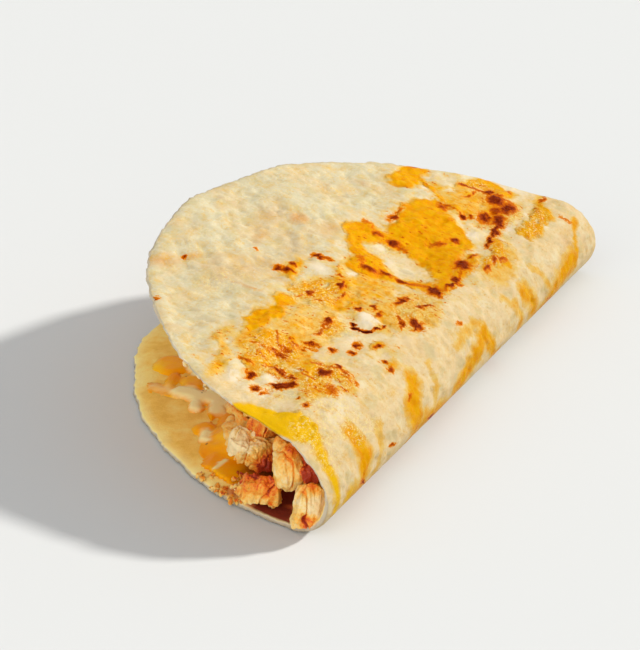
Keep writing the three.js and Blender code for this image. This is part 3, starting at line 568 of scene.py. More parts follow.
def disc_grid(cells):
    """A square grid laid on the unit disc with even cells, and the order of its border."""
    line = np.linspace(-1, 1, cells + 1)
    x, y = np.meshgrid(line, line, indexing="ij")
    wide = np.abs(x) >= np.abs(y)
    radius = np.where(wide, x, y)
    safe = np.where(radius == 0, 1, radius)
    angle = np.where(wide, np.pi / 4 * y / safe, np.pi / 2 - np.pi / 4 * x / safe)
    p, q = radius * np.cos(angle), radius * np.sin(angle)
    index = np.arange((cells + 1) ** 2).reshape(cells + 1, cells + 1)
    border = np.concatenate([index[:-1, 0], index[-1, :-1], index[:0:-1, -1], index[0, :0:-1]])
    return p.ravel(), q.ravel(), index, border


def grid_faces(index):
    corners = (index[:-1, :-1], index[1:, :-1], index[1:, 1:], index[:-1, 1:])
    return np.stack(corners, -1).reshape(-1, 4)


def on_tortilla(p, q):
    """s and t of a point of the unit disc."""
    radius = np.hypot(p, q)
    share = lerp(1, rim_share(np.arctan2(q, p)), radius**2)
    return FOLD_REACH * p * share, FOLD_OFFSET + CROSS_REACH * q * share


def outside_fields(s, t):
    """What the griddled material reads on the outside of the tortilla."""
    return {
        "flat": flat_points(s, t, 0),
        "cheese": cheese_field(s, t),
        "browned": heat_field(s, t),
        "toast_stain_and_shade": soft(s, t, TOASTED, 13, 91),
        "pale_and_lit": soft(s, t, PALE_AND_HIGHLIGHTS, 14, 93),
        "grease": soft(s, t, GREASY, 15, 95),
        "griddled": griddled(s, t),
        "inside": np.zeros_like(s),
    }


def rim_fields(s, t, inside, pale_and_lit):
    """The same on the rim, where some cheese runs over, and on the inner side, which is only stained, with
    painted shadow in the deep gaps at the open end. The pale value paints light on the rim and its inner
    edge.
    """
    blank = np.zeros_like(s)
    over = cheese_field(s, t) - 1.6 * inside
    return {
        "flat": flat_points(s, t, 40),
        "cheese": np.where(t > 0, over, -1),
        "browned": blank,
        "toast_stain_and_shade": soft(s, t, SAUCE_AND_SHADOW, 16, 97),
        "pale_and_lit": blank + pale_and_lit,
        "grease": blank,
        "griddled": blank,
        "inside": blank + inside,
    }


def rim_rows(s, t):
    """Two rows of points round the rim's rough face, and their depths."""
    away = np.stack([s / FOLD_REACH**2, (t - FOLD_OFFSET) / CROSS_REACH**2], -1)
    away = away / np.linalg.norm(away, axis=-1, keepdims=True)
    rows = []
    for share in (0.28, 0.72):
        swell = 0.4 + 0.45 * noise(flat_points(s, t, 50 * share), 1.5, 73)
        depth = share * rim_thickness(s, t) + 0.25 * noise(flat_points(s, t, 60 * share), 1.6, 74)
        rows.append((s + swell * away[:, 0], t + swell * away[:, 1], depth))
    return rows


def rim_thickness(s, t):
    """The thickness at the rim: worn thin where the upper half meets the open end."""
    worn = smooth(-s, 50, 66) * smooth(t, 3, 10)
    return RIM_THICKNESS * (1 - 0.5 * worn)


def outer_skin():
    """The fine outer side: its points, s and t, the grid of their numbers and its border."""
    p, q, index, border = disc_grid(SKIN_CELLS)
    s, t = on_tortilla(p, q)
    radius = np.hypot(p, q)
    edge = smooth(radius, 0.955, 1)
    tuck = 0.3 * smooth(radius, 0.985, 1) ** 2
    return folded(s, t, tuck - blisters(s, t) * (1 - 0.6 * edge)), s, t, index, border


def inner_skin():
    """The coarser inner side: its points, what the material reads there, its grid and its border."""
    p, q, index, border = disc_grid(SKIN_CELLS // 2)
    s, t = on_tortilla(p, q)
    radius = np.hypot(p, q)
    edge = smooth(radius, 0.955, 1)
    grain = 0.14 * noise(flat_points(s, t, 90), 3, 71)
    thickness = lerp(THICKNESS, rim_thickness(s, t), edge)
    points = folded(s, t, thickness + grain * (1 - edge))
    uneven = 0.012 * noise(flat_points(s, t, 95), 4, 75)
    # Painted light: a pale strip along the inner edge of the lower half, where its cut edge catches the
    # light.
    painted_edge_light = 0.6 * smooth(radius + uneven, 0.972, 0.996)
    clean = 1 - soft(s, t, SAUCE_AND_SHADOW, 16, 97)
    return points, rim_fields(s, t, 1, painted_edge_light * clean * (t < 0)), index, border


def tortilla(material):
    """The whole tortilla: a fine outer skin, a coarser inner one, and a rough rim between them."""
    outer, s, t, index, border = outer_skin()
    inner, inner_fields, inner_index, inner_border = inner_skin()
    rows = rim_rows(s[border], t[border])
    # The rim's rough face is painted pale all round: painted light, so that the side turned from the lamps
    # does not come out grey.
    rows_fields = [rim_fields(row[0], row[1], inside, 1) for row, inside in zip(rows, (0.1, 0.35))]
    fields = [outside_fields(s, t), *rows_fields, inner_fields]
    attributes = {key: np.concatenate([each[key] for each in fields]) for key in inner_fields}
    points = np.concatenate([outer, *(folded(*row) for row in rows), inner])
    faces = tortilla_faces(index, border, inner_index, inner_border)
    return new_mesh("tortilla_look", points, faces, material, attributes)


def tortilla_faces(index, border, inner_index, inner_border):
    """The outer skin, two rows round the rim, and the inner skin, stitched to the rim."""
    upper_row = index.size + np.arange(len(border))
    lower_row = upper_row + len(border)
    inner_start = lower_row[-1] + 1
    faces = [grid_faces(index)[:, ::-1], inner_start + grid_faces(inner_index)]
    for high, low in ((border, upper_row), (upper_row, lower_row)):
        faces.append(np.stack([high, np.roll(high, -1), np.roll(low, -1), low], -1))
    faces = np.concatenate(faces).tolist()
    return faces + stitched(lower_row.tolist(), (inner_start + inner_border).tolist())


def stitched(fine, coarse):
    """Triangles between two closed rows, the first with twice as many points as the second."""
    faces = []
    for k, here in enumerate(coarse):
        after = coarse[(k + 1) % len(coarse)]
        a, b, c = (fine[(2 * k + step) % len(fine)] for step in (0, 1, 2))
        faces += [[a, b, here], [b, after, here], [b, c, after]]
    return faces


def padded_sheet(name, s, t, top, bottom, keep, material, fields):
    """A closed piece over a grid of s and t: the kept cells at two depths, walled round their edge."""
    cells = grid_faces(np.arange(s.size).reshape(s.shape))[keep.ravel()]
    used = np.unique(cells)
    renumber = np.full(s.size, -1)
    renumber[used] = np.arange(len(used))
    cells = renumber[cells]
    count = len(used)
    flat_s, flat_t = s.ravel()[used], t.ravel()[used]
    over = folded(flat_s, flat_t, top.ravel()[used])
    under = folded(flat_s, flat_t, bottom.ravel()[used])
    edges = np.concatenate([cells[:, [k, (k + 1) % 4]] for k in range(4)])
    _, first, times = np.unique(np.sort(edges, 1), axis=0, return_index=True, return_counts=True)
    border = edges[first[times == 1]]
    walls = np.stack([border[:, 1], border[:, 0], border[:, 0] + count, border[:, 1] + count], -1)
    faces = np.concatenate([cells, cells[:, ::-1] + count, walls]).tolist()
    attributes = {}
    for key, values in fields.items():
        values = values.reshape(s.size, -1)[used]
        values = np.concatenate([values, values])
        attributes[key] = values if values.shape[1] > 1 else values[:, 0]
    piece = new_mesh(name, np.concatenate([over, under]), faces, material, attributes)
    face_outwards(piece)
    return piece


def grid_over(s_from, s_to, t_from, t_to, cell):
    return np.meshgrid(np.arange(s_from, s_to, cell), np.arange(t_from, t_to, cell), indexing="ij")


def kept_cells(present):
    return present[:-1, :-1] & present[1:, :-1] & present[1:, 1:] & present[:-1, 1:]


# The browned cheese: how high it, its bubbles and its charred scabs stand on the skin, how far
# it sinks into the skin where it runs out, and how deep its hidden side lies.
CRUST_HEIGHT = 0.24
BUBBLE_HEIGHT = 0.16
SCAB_HEIGHT = 0.2
CRUST_SUNK = 0.14
CRUST_DEPTH = 0.5
CRUST_SEAM = -8.5
CRUST_AREAS = {
    "cheese_crust_near": (-72, CRUST_SEAM, 14, 58),
    "cheese_crust_far": (CRUST_SEAM, 72, 14, 60),
}


def crust(name, material):
    """Browned cheese standing proud of the skin, and dipping under it where it runs out."""
    s, t = grid_over(*CRUST_AREAS[name], CRUST_CELL)
    fields = outside_fields(s, t)
    cheese, heat = fields["cheese"], fields["browned"]
    points = flat_points(s, t, 21)
    body = CRUST_HEIGHT * smooth(cheese, 0.1, 0.9) - CRUST_SUNK * (1 - smooth(cheese, -0.1, 0.2))
    bubbly = BUBBLE_HEIGHT * smooth(cheese, 0.1, 0.5) * noise(points, 1.8, 81)
    scab = SCAB_HEIGHT * smooth(heat, 0.35, 0.9) * (1 + noise(points, 0.9, 83))
    within = 1 - smooth((s / FOLD_REACH) ** 2 + ((t - FOLD_OFFSET) / CROSS_REACH) ** 2, 0.82, 0.93)
    within = within * smooth(t, 14.5, 17.5) * smooth(np.abs(s - CRUST_SEAM), 0.2, 1.6)
    rise = (body + bubbly + scab) * within - CRUST_SUNK * (1 - within)
    skin = -blisters(s, t)
    keep = kept_cells(rise > -0.1)
    return padded_sheet(name + "_look", s, t, skin - rise, skin + CRUST_DEPTH, keep, material, fields)


# The melted cheese: how high it and its strands stand on the inner side, how far they sink into
# it where they run out, and how deep the hidden side lies.
LINING_HEIGHT = 0.8
STRAND_HEIGHT = 0.9
LINING_SUNK = 0.2
LINING_DEPTH = 0.4


def lining(material):
    """Melted cheese on the inner side of the lower half, with paler strands lying in it."""
    s, t = grid_over(-73, 68, -74, -9, LINING_CELL)
    a, b = drifted(s, t, 23, 4, 0.8, 101)
    amount = ovals(a, b, MELTED)
    a, b = drifted(s, t, 24, 1.8, 0.8, 103)
    strand = np.full_like(s, -1)
    for width, height, *corners in STRANDS:
        strand = np.maximum(strand, height * (1 - distance_to(a, b, corners) / (1.5 * width)))
    points = flat_points(s, t, 25)
    body = LINING_HEIGHT * smooth(amount, 0, 0.4) - LINING_SUNK * (1 - smooth(amount, -0.1, 0.05))
    strands = STRAND_HEIGHT * smooth(strand, 0, 0.6) - LINING_SUNK * (strand < 0)
    mound = MOUND_HEIGHT * smooth(ovals(a, b, MOUND), 0, 0.8)
    rise = np.maximum(body, strands) + 0.12 * noise(points, 2.4, 105) * smooth(amount, 0, 0.3) + mound
    within = ((s / FOLD_REACH) ** 2 + ((t - FOLD_OFFSET) / CROSS_REACH) ** 2) < 0.93
    keep = kept_cells((rise > -0.1) & within)
    fields = {
        "flat": flat_points(s, t, 30),
        "white": smooth(strand + 0.2 * noise(points, 1.5, 109), 0, 0.5),
        # Sauce stain, with painted shadow where the sheet lies in the gaps of the open end.
        "stain": soft(s, t, SAUCE_AND_SHADOW, 26, 107),
    }
    top, bottom = THICKNESS + rise, np.full_like(s, THICKNESS - LINING_DEPTH)
    return padded_sheet("melted_cheese_look", s, t, top, bottom, keep, material, fields)


# ---- Chicken ----

# The pieces at the near end: the middle, the half sizes, the turns about X, Y and Z in radians, the
# side that is seasoned most, and how much seasoning the piece carries.
PIECES = (
    ((-74, 5.8, 6), (2.4, 3.5, 5.2), (0, 0.22, 0.46), (-0.3, -0.2, 0.2), 0.40),
    ((-69.2, 12.3, 12.1), (3.3, 3.2, 5), (-0.1, 0.12, 0.46), (-0.3, -0.2, 0.5), 0.40),
    ((-71.8, 18.2, 5.2), (3.5, 5, 3.3), (0.1, 0.05, 0.46), (-0.2, -0.3, 0.7), 0.50),
    ((-66.4, 22.9, 10), (3.4, 4.9, 3.2), (0.25, 0, 0.4), (0, -1, -0.3), 0.42),
    ((-62.8, 22.2, 13.6), (3, 3.2, 2.6), (0.2, 0.1, 0.4), (0, 0, -1), 0.86),
    ((-69, 7.8, 11.6), (2.4, 2.4, 3.2), (0, 0.1, 0.46), (0, 0, 1), 0.95),
)
# Where they come out darker and redder or paler: the place, its reach, and how much more. Some spots are
# seasoning; others are painted shade on undersides in shadow, as on the second and fourth pieces, and
# painted light on a lit facet of the first piece.
DUSTED_LIT_AND_SHADED = (
    ((-69.1, 24.4, 13), 4.5, -0.45), ((-67.1, 19.8, 10.1), 3, -0.1), ((-66.8, 19, 6.4), 3.2, 0.62),
    ((-72, 14.4, 8.6), 2.2, 0.32), ((-71.8, 18.8, 8.4), 3.4, 0.32), ((-74.8, 17, 4.3), 3.4, -0.22),
    ((-72.6, 10.8, 15.6), 2.2, 0.26), ((-72.6, 10.8, 11.6), 3.4, -0.25), ((-76.2, 6.6, 8), 2.6, -0.35),
    ((-75.4, 4.8, 4.4), 1.9, 0.45), ((-73.6, 3, 6), 2.6, -0.5), ((-74.5, 4.8, 10.6), 2.2, 0.4),
    ((-74.8, 3, 8.2), 2.4, -0.5), ((-70.6, 12, 9.6), 2, -0.16),
)
PIECE_CELLS = 44  # cells across one side of the cube that each chunk's grid starts from
HEAP_CELLS = 10
CRUMB_CELLS = 6
SQUARE = 4  # 2 would make a chunk a ball, and more makes it squarer
FLOOR_GAP = 0.05


def gathered(parts):
    """Many bodies as one: each part's points, faces, place in the noise and seasoning."""
    faces, start = [], 0
    for points, part_faces, _, _ in parts:
        faces += [[corner + start for corner in face] for face in part_faces]
        start += len(points)
    points, flat, season = (np.concatenate([part[k] for part in parts]) for k in (0, 2, 3))
    return points, faces, {"flat": flat, "season": season}


def ball_grid(cells):
    """Directions evenly over a ball, from a cube with square cells, and the faces between them."""
    line = np.tan(np.linspace(-np.pi / 4, np.pi / 4, cells + 1))
    u, v = np.meshgrid(line, line, indexing="ij")
    one = np.ones_like(u)
    sides = ((one, u, v), (-one, v, u), (v, one, u), (u, -one, v), (u, v, one), (v, u, -one))
    points = np.concatenate([np.stack(side, -1).reshape(-1, 3) for side in sides])
    index = np.arange(u.size).reshape(u.shape)
    faces = np.concatenate([grid_faces(index) + k * u.size for k in range(len(sides))])
    keys = np.round(points * 1e5).astype(np.int64)
    _, first, inverse = np.unique(keys, axis=0, return_index=True, return_inverse=True)
    points = points[first]
    return points / np.linalg.norm(points, axis=1, keepdims=True), inverse.ravel()[faces].tolist()


def cut_block(directions, cuts, random):
    """A rounded block inside the cube from -1 to 1, with slices taken off it."""
    rounded = directions / (np.abs(directions) ** SQUARE).sum(1, keepdims=True) ** (1 / SQUARE)
    for _ in range(cuts):
        normal = random.normal(size=3)
        normal /= np.linalg.norm(normal)
        over = rounded @ normal - random.uniform(0.66, 0.98)
        rounded = rounded - np.maximum(over, 0)[:, None] * normal
    return rounded


def chunk(grid, half, seed, cuts=9):
    """A torn and cut chunk of chicken about its own middle, with its fibres along its local z."""
    rounded = cut_block(grid[0], cuts, np.random.default_rng(seed))
    half = np.array(half)
    points = rounded * half
    outward = np.sign(rounded) * np.abs(rounded) ** 3 / half
    outward = outward / (np.linalg.norm(outward, axis=1, keepdims=True) + 1e-9)
    place = points + 31.7 * seed
    along = place * np.array([1, 1, 0.3])
    fibres = 1 - 2.2 * np.abs(noise(along, 1.2, 201, octaves=2))
    threads = noise(place * np.array([1, 1, 0.5]), 0.6, 205, octaves=2)
    lumps = noise(place, 3.4, 207, octaves=3)
    crack = smooth(np.abs(noise(along, 3, 211, octaves=2)), 0.09, 0)
    swell = 0.28 * fibres + 0.26 * threads + 0.8 * lumps - 0.8 * crack
    points = points + outward * swell[:, None]
    ends = np.abs(rounded[:, 2]) ** 2 * np.sign(rounded[:, 2])
    torn = noise(place * np.array([1, 1, 0.05]), 1.5, 209, octaves=2)
    points[:, 2] += 1.1 * ends * torn
    hollow = 1.2 * crack - 0.5 * lumps - 0.2 * threads
    return points, outward, hollow


def seasoning(points, outward, hollow, side, amount, seed):
    """How much seasoning there is at each point of a chunk: 0 white meat, 1 dark red-brown."""
    patches = noise(points + 11.3 * seed, 3.6, 221, octaves=4)
    # The hollows come out darker and redder.
    return amount + 0.36 * patches + 0.22 * (outward @ np.array(side)) + 0.3 * hollow


def chicken_piece(index, material, grid):
    middle, half, turned, side, amount = PIECES[index]
    points, outward, hollow = chunk(grid, half, index + 1)
    turn = np.array(Euler(turned, "XYZ").to_matrix())
    placed = points @ turn.T + np.array(middle)
    season = seasoning(points, outward @ turn.T, hollow, side, amount, index + 1)
    # Seasoning, painted shade on shadowed undersides and painted light on a lit facet are all added here.
    for spot, reach, more in DUSTED_LIT_AND_SHADED:
        distance = np.linalg.norm(placed - np.array(spot), axis=1)
        season = season + more * np.exp(-((distance / reach) ** 2))
    placed[:, 2] = np.maximum(placed[:, 2], THICKNESS + 0.1)
    attributes = {"flat": points + 40 * (index + 1), "season": season}
    name = f"chicken_piece_{index + 1}"
    return new_mesh(name + "_look", placed, grid[1], material, attributes)


# The filling: its section follows the tortilla's inside round the fold, as in the CAD model.
FILLING_FROM = -60
FILLING_TO = 66
FILLING_ROWS = 40
FILLING_WRAP = 24
FILLING_FRONT = 12
CORE_INSET = 2.6
CORE_SEASONING = 0.62
# The heap's chunks: how far up the open front each row is, the step along a row, and half sizes.
HEAP_RISES = (0.1, 0.36, 0.62, 0.88)
HEAP_STEP = 6.2
HEAP_SMALLEST = (3.4, 2.4, 2.2)
HEAP_LARGEST = (5.6, 3.8, 3.4)
# Up to here along the fold, by the open end, they are closer together, smaller and further in.
CORNER_TO = -45
CORNER_RISES = (0.28, 0.52, 0.76, 0.94)
CORNER_STEP = 4.6
CORNER_SIZE = 0.75
CORNER_INSET = 4.4


def filling_ends(s):
    """The values of t where the filling starts on the lower half and stops on the upper half."""
    along = (s - FILLING_FROM) / (FILLING_TO - FILLING_FROM)
    taper = np.sqrt(np.sin(np.pi * lerp(0.16, 0.9, along)))
    low = -lerp(12, 41, taper) - 1.5 * np.sin(0.31 * s)
    high = lerp(16, 50, taper) + 1.5 * np.sin(0.23 * s + 1)
    return low, high


def filling_edge(s, t):
    """A point on the filling's outside, where it meets the tortilla or the melted cheese."""
    over_cheese = 1 - smooth(t, -13, -6)
    return folded(s, t, THICKNESS + 0.5 + 1.8 * over_cheese)


def filling_front(s, rise):
    """A point on the filling's open front, from its foot at rise 0 to its head at rise 1."""
    low, high = filling_ends(s)
    point = lerp(filling_edge(s, low), filling_edge(s, high), np.asarray(rise)[..., None])
    bulge = 2.2 * np.sin(np.pi * rise) * (1 + 0.6 * np.sin(0.5 * s + 5 * rise))
    return point + np.stack([0 * bulge, bulge, 0 * bulge], -1)


def core_ring(s):
    """A ring of points round the filling's section at s, set in from its outside."""
    low, high = filling_ends(s)
    t = np.linspace(low, high, FILLING_WRAP + 1)
    wrap = filling_edge(np.full_like(t, s), t)
    rise = np.linspace(1, 0, FILLING_FRONT + 1)[1:-1]
    front = filling_front(np.full_like(rise, s), rise)
    ring = np.concatenate([wrap, front])
    middle = ring.mean(0)
    away = ring - middle
    length = np.linalg.norm(away, axis=1, keepdims=True)
    return middle + away * np.maximum(1 - CORE_INSET / length, 0.2)


def core():
    """The filling's inside as one dark lumpy body, smaller than the filling all round."""
    sections = np.linspace(FILLING_FROM + CORE_INSET, FILLING_TO - CORE_INSET, FILLING_ROWS + 1)
    rings = [core_ring(s) for s in sections]
    count = len(rings[0])
    points = np.concatenate(rings + [[ring.mean(0)] for ring in (rings[0], rings[-1])])
    index = np.arange(count * len(rings)).reshape(len(rings), count)
    index = np.concatenate([index, index[:, :1]], 1)
    faces = grid_faces(index).tolist()
    first, last = count * len(rings), count * len(rings) + 1
    for k in range(count):
        faces.append([index[0, k + 1], index[0, k], first])
        faces.append([index[-1, k], index[-1, k + 1], last])
    points = points + 0.5 * np.stack([noise(points, 3, 230 + axis) for axis in range(3)], -1)
    return points, faces


def heap_places(random):
    """Middles for the chunks: over the filling's open front, and across its two ends."""
    places = []
    for row, rise in enumerate(HEAP_RISES):
        for s in np.arange(FILLING_FROM + 3 + 3 * (row % 2), FILLING_TO - 2, HEAP_STEP):
            s = s + random.uniform(-1.2, 1.2)
            point = filling_front(s, np.clip(rise + random.uniform(-0.07, 0.07), 0.04, 0.95))
            if s > CORNER_TO - 1:
                places.append(point - np.array([0, 2.6 + random.uniform(-0.8, 0.8), 0]))
    for s in (FILLING_FROM + 2.5, FILLING_TO - 3.5):
        low, high = filling_ends(s)
        for along in np.arange(low + 3, high - 3, HEAP_STEP):
            edge = filling_edge(s, along)
            inwards = np.array([edge[0], lerp(edge[1], 16, 0.3), lerp(edge[2], 11, 0.35)])
            if inwards[1] < 24 or s > 0:
                places.append(inwards)
    for rise in CORNER_RISES:
        for s in np.arange(FILLING_FROM + 1.5, CORNER_TO, CORNER_STEP):
            s = s + random.uniform(-0.8, 0.8)
            places.append(filling_front(s, rise) - np.array([0, CORNER_INSET, 0]))
    return places


# The height map of the upper half's inner side: the width of a column, how many there are, and
# how far the first one is from the origin.
COLUMN = 1.5
COLUMNS = (140, 80)
COLUMNS_START = (105, 10)


def columns_under(points):
    """Which column of the height map each point is in."""
    columns = ((points[:, :2] + COLUMNS_START) / COLUMN).astype(int)
    return tuple(np.clip(columns, 0, np.array(COLUMNS) - 1).T)


def below_the_lid(points):
    """The points, pushed down where they would come through the upper half of the tortilla."""
    s, t = grid_over(-76, 76, 4, 84, 0.8)
    lid = folded(s.ravel(), t.ravel(), np.full(s.size, THICKNESS + 0.5))
    heights = np.full(COLUMNS, np.inf)
    np.minimum.at(heights, columns_under(lid), lid[:, 2])
    lowered = points.copy()
    lowered[:, 2] = np.clip(points[:, 2], THICKNESS + 0.3, heights[columns_under(points)])
    return lowered


def filling(material):
    """A heap of many chunks round a smaller core."""
    random = np.random.default_rng(17)
    grid = ball_grid(HEAP_CELLS)
    points, faces = core()
    parts = [(points, faces, points, np.full(len(points), CORE_SEASONING))]
    for number, place in enumerate(heap_places(random)):
        at_the_corner = place[0] < CORNER_TO + 1 and place[1] > 20
        half = random.uniform(HEAP_SMALLEST, HEAP_LARGEST)[::-1]
        half = half * (CORNER_SIZE if at_the_corner else 1)
        shape, outward, hollow = chunk(grid, half, 40 + number, cuts=5)
        tipped = random.uniform(-0.5, 0.5)
        leaning = 1.57 + random.uniform(-0.5, 0.5)
        turn = np.array(Euler((tipped, leaning, random.uniform(0, 6.3))).to_matrix())
        amount = random.uniform(0.25, 0.65)
        season = seasoning(shape, outward @ turn.T, hollow, (0, 0, 1), amount, number)
        if at_the_corner:
            season = 0.46 + 0.35 * (season - 0.5)
        parts.append((shape @ turn.T + place, grid[1], shape + 5 * number, season))
    points, faces, attributes = gathered(parts)
    piece = new_mesh("chicken_filling_look", below_the_lid(points), faces, material, attributes)
    face_outwards(piece)
    return piece


# Crumbs and curds: where along and across the tortilla, how deep, how far they spread, how many,
# their size, and their seasoning.
CRUMBS = (
    ((-59, 52), 2.1, 1.6, 5, 1, 0.05), ((-62, 48), 2.1, 2, 6, 0.9, 0.05),
    ((-64.8, 44.6), 2, 1.4, 4, 0.7, 0.1), ((-68.6, -32), 1.6, 1.6, 5, 0.8, 0.38),
    ((-70.6, -27.4), 1.4, 1.8, 6, 1, 0.34), ((-72.6, -22), 1.2, 2, 6, 0.9, 0.4),
    ((-70, -22.6), 2.6, 2.2, 6, 0.9, 0.2), ((-66.5, -25), 2.8, 2.2, 5, 0.7, 0.6),
    ((-72, -14.5), 2.6, 2.2, 5, 0.8, 0.5),
)


def crumbs(material):
    """Loose crumbs along the open end's rim, and white curds hanging under the upper half."""
    random = np.random.default_rng(29)
    grid = ball_grid(CRUMB_CELLS)
    parts = []
    for middle, depth, spread, count, size, amount in CRUMBS:
        for number in range(count):
            key = len(parts) * len(grid[0])  # each crumb's own
            half = size * random.uniform(0.6, 1.3, 3)
            shape, outward, hollow = chunk(grid, half, 300 + key, cuts=6)
            shape = shape * (size / np.abs(shape).max())
            s, t = random.normal(middle, spread / 2)
            place = folded(np.array([s]), np.array([t]), np.array([depth + 0.4 * size]))
            season = seasoning(shape, outward, hollow, (0, 0, 1), amount, number)
            parts.append((shape + place, grid[1], shape + 3 * key, season))
    points, faces, attributes = gathered(parts)
    points[:, 2] = np.maximum(points[:, 2], FLOOR_GAP)
    return new_mesh("crumbs_look", points, faces, material, attributes)


# ---- Materials ----

LIT = 1.36  # how bright a white surface would be on the top of the taco, as rendered
INNER_LIT = 0.72  # and inside the fold


def seen(red, green, blue, light=LIT):
    """The colour a surface needs in order to look like this, from 0 to 255, under that light."""
    values = []
    for value in (red, green, blue):
        share = value / 255
        linear = share / 12.92 if share <= 0.04045 else ((share + 0.055) / 1.055) ** 2.4
        values.append(min(linear / light, 0.95))
    return (*values, 1)


def seen_inside(red, green, blue):
    return seen(red, green, blue, INNER_LIT)


class Shader:
    """A material's node tree, built by short calls that each return an output socket."""

    def __init__(self, name):
        self.material = bpy.data.materials.new(name)
        self.material.use_nodes = True
        self.tree = self.material.node_tree
        self.surface = self.tree.nodes["Principled BSDF"]

    def feed(self, socket, value):
        if isinstance(value, bpy.types.NodeSocket):
            self.tree.links.new(value, socket)
        else:
            socket.default_value = value

    def node(self, kind, inputs, output, **settings):
        """A new node: what goes into it, by name or number, and which of its outputs is wanted."""
        made = self.tree.nodes.new("ShaderNode" + kind)
        for name, value in settings.items():
            setattr(made, name, value)
        for key, value in inputs.items():
            self.feed(made.inputs[key], value)
        return made.outputs[output]

    def attribute(self, name, output="Fac"):
        return self.node("Attribute", {}, output, attribute_name=name)

    def fold(self, operation, values):
        """The values joined one after another by a maths operation."""
        total = values[0]
        for value in values[1:]:
            total = self.node("Math", {0: total, 1: value}, 0, operation=operation)
        return total

    def add(self, *values):
        return self.fold("ADD", values)

    def times(self, *values):
        return self.fold("MULTIPLY", values)

    def largest(self, *values):
        return self.fold("MAXIMUM", values)

    def around(self, value, reach):
        """Noise that runs from 0 to 1, turned to run from -reach / 2 to reach / 2."""
        return self.times(self.add(value, -0.5), reach)

    def step(self, value, low, high, to_low=0, to_high=1):
        inputs = {"Value": value, "From Min": low, "From Max": high, "To Min": to_low, "To Max": to_high}
        return self.node("MapRange", inputs, "Result", interpolation_type="SMOOTHSTEP")

    def noise(self, place, scale, detail=3, roughness=0.55):
        inputs = {"Vector": place, "Scale": scale, "Detail": detail, "Roughness": roughness}
        return self.node("TexNoise", inputs, "Fac")

    def cells(self, place, scale):
        return self.node("TexVoronoi", {"Vector": place, "Scale": scale}, "Distance")

    def stretched(self, place, scale):
        return self.node("VectorMath", {0: place, 1: scale}, 0, operation="MULTIPLY")

    def part(self, place, axis):
        return self.node("SeparateXYZ", {0: place}, axis)

    def ramp(self, value, *stops):
        made = self.tree.nodes.new("ShaderNodeValToRGB")
        elements = made.color_ramp.elements
        elements.remove(elements[-1])
        elements[0].position, elements[0].color = stops[0]
        for place, colour in stops[1:]:
            elements.new(place).color = colour
        self.feed(made.inputs["Fac"], value)
        return made.outputs["Color"]

    def coats(self, colour, *layers):
        """A colour with layers over it: for each, how much of it there is, and its own colour."""
        for share, tint in layers:
            colour = self.node("Mix", {"Factor": share, 6: colour, 7: tint}, 2, data_type="RGBA")
        return colour

    def bump(self, height, strength, distance):
        inputs = {"Strength": strength, "Distance": distance, "Height": height}
        return self.node("Bump", inputs, "Normal")

    def finish(self, **sockets):
        for name, value in sockets.items():
            self.feed(self.surface.inputs[name.replace("_", " ")], value)
        return self.material


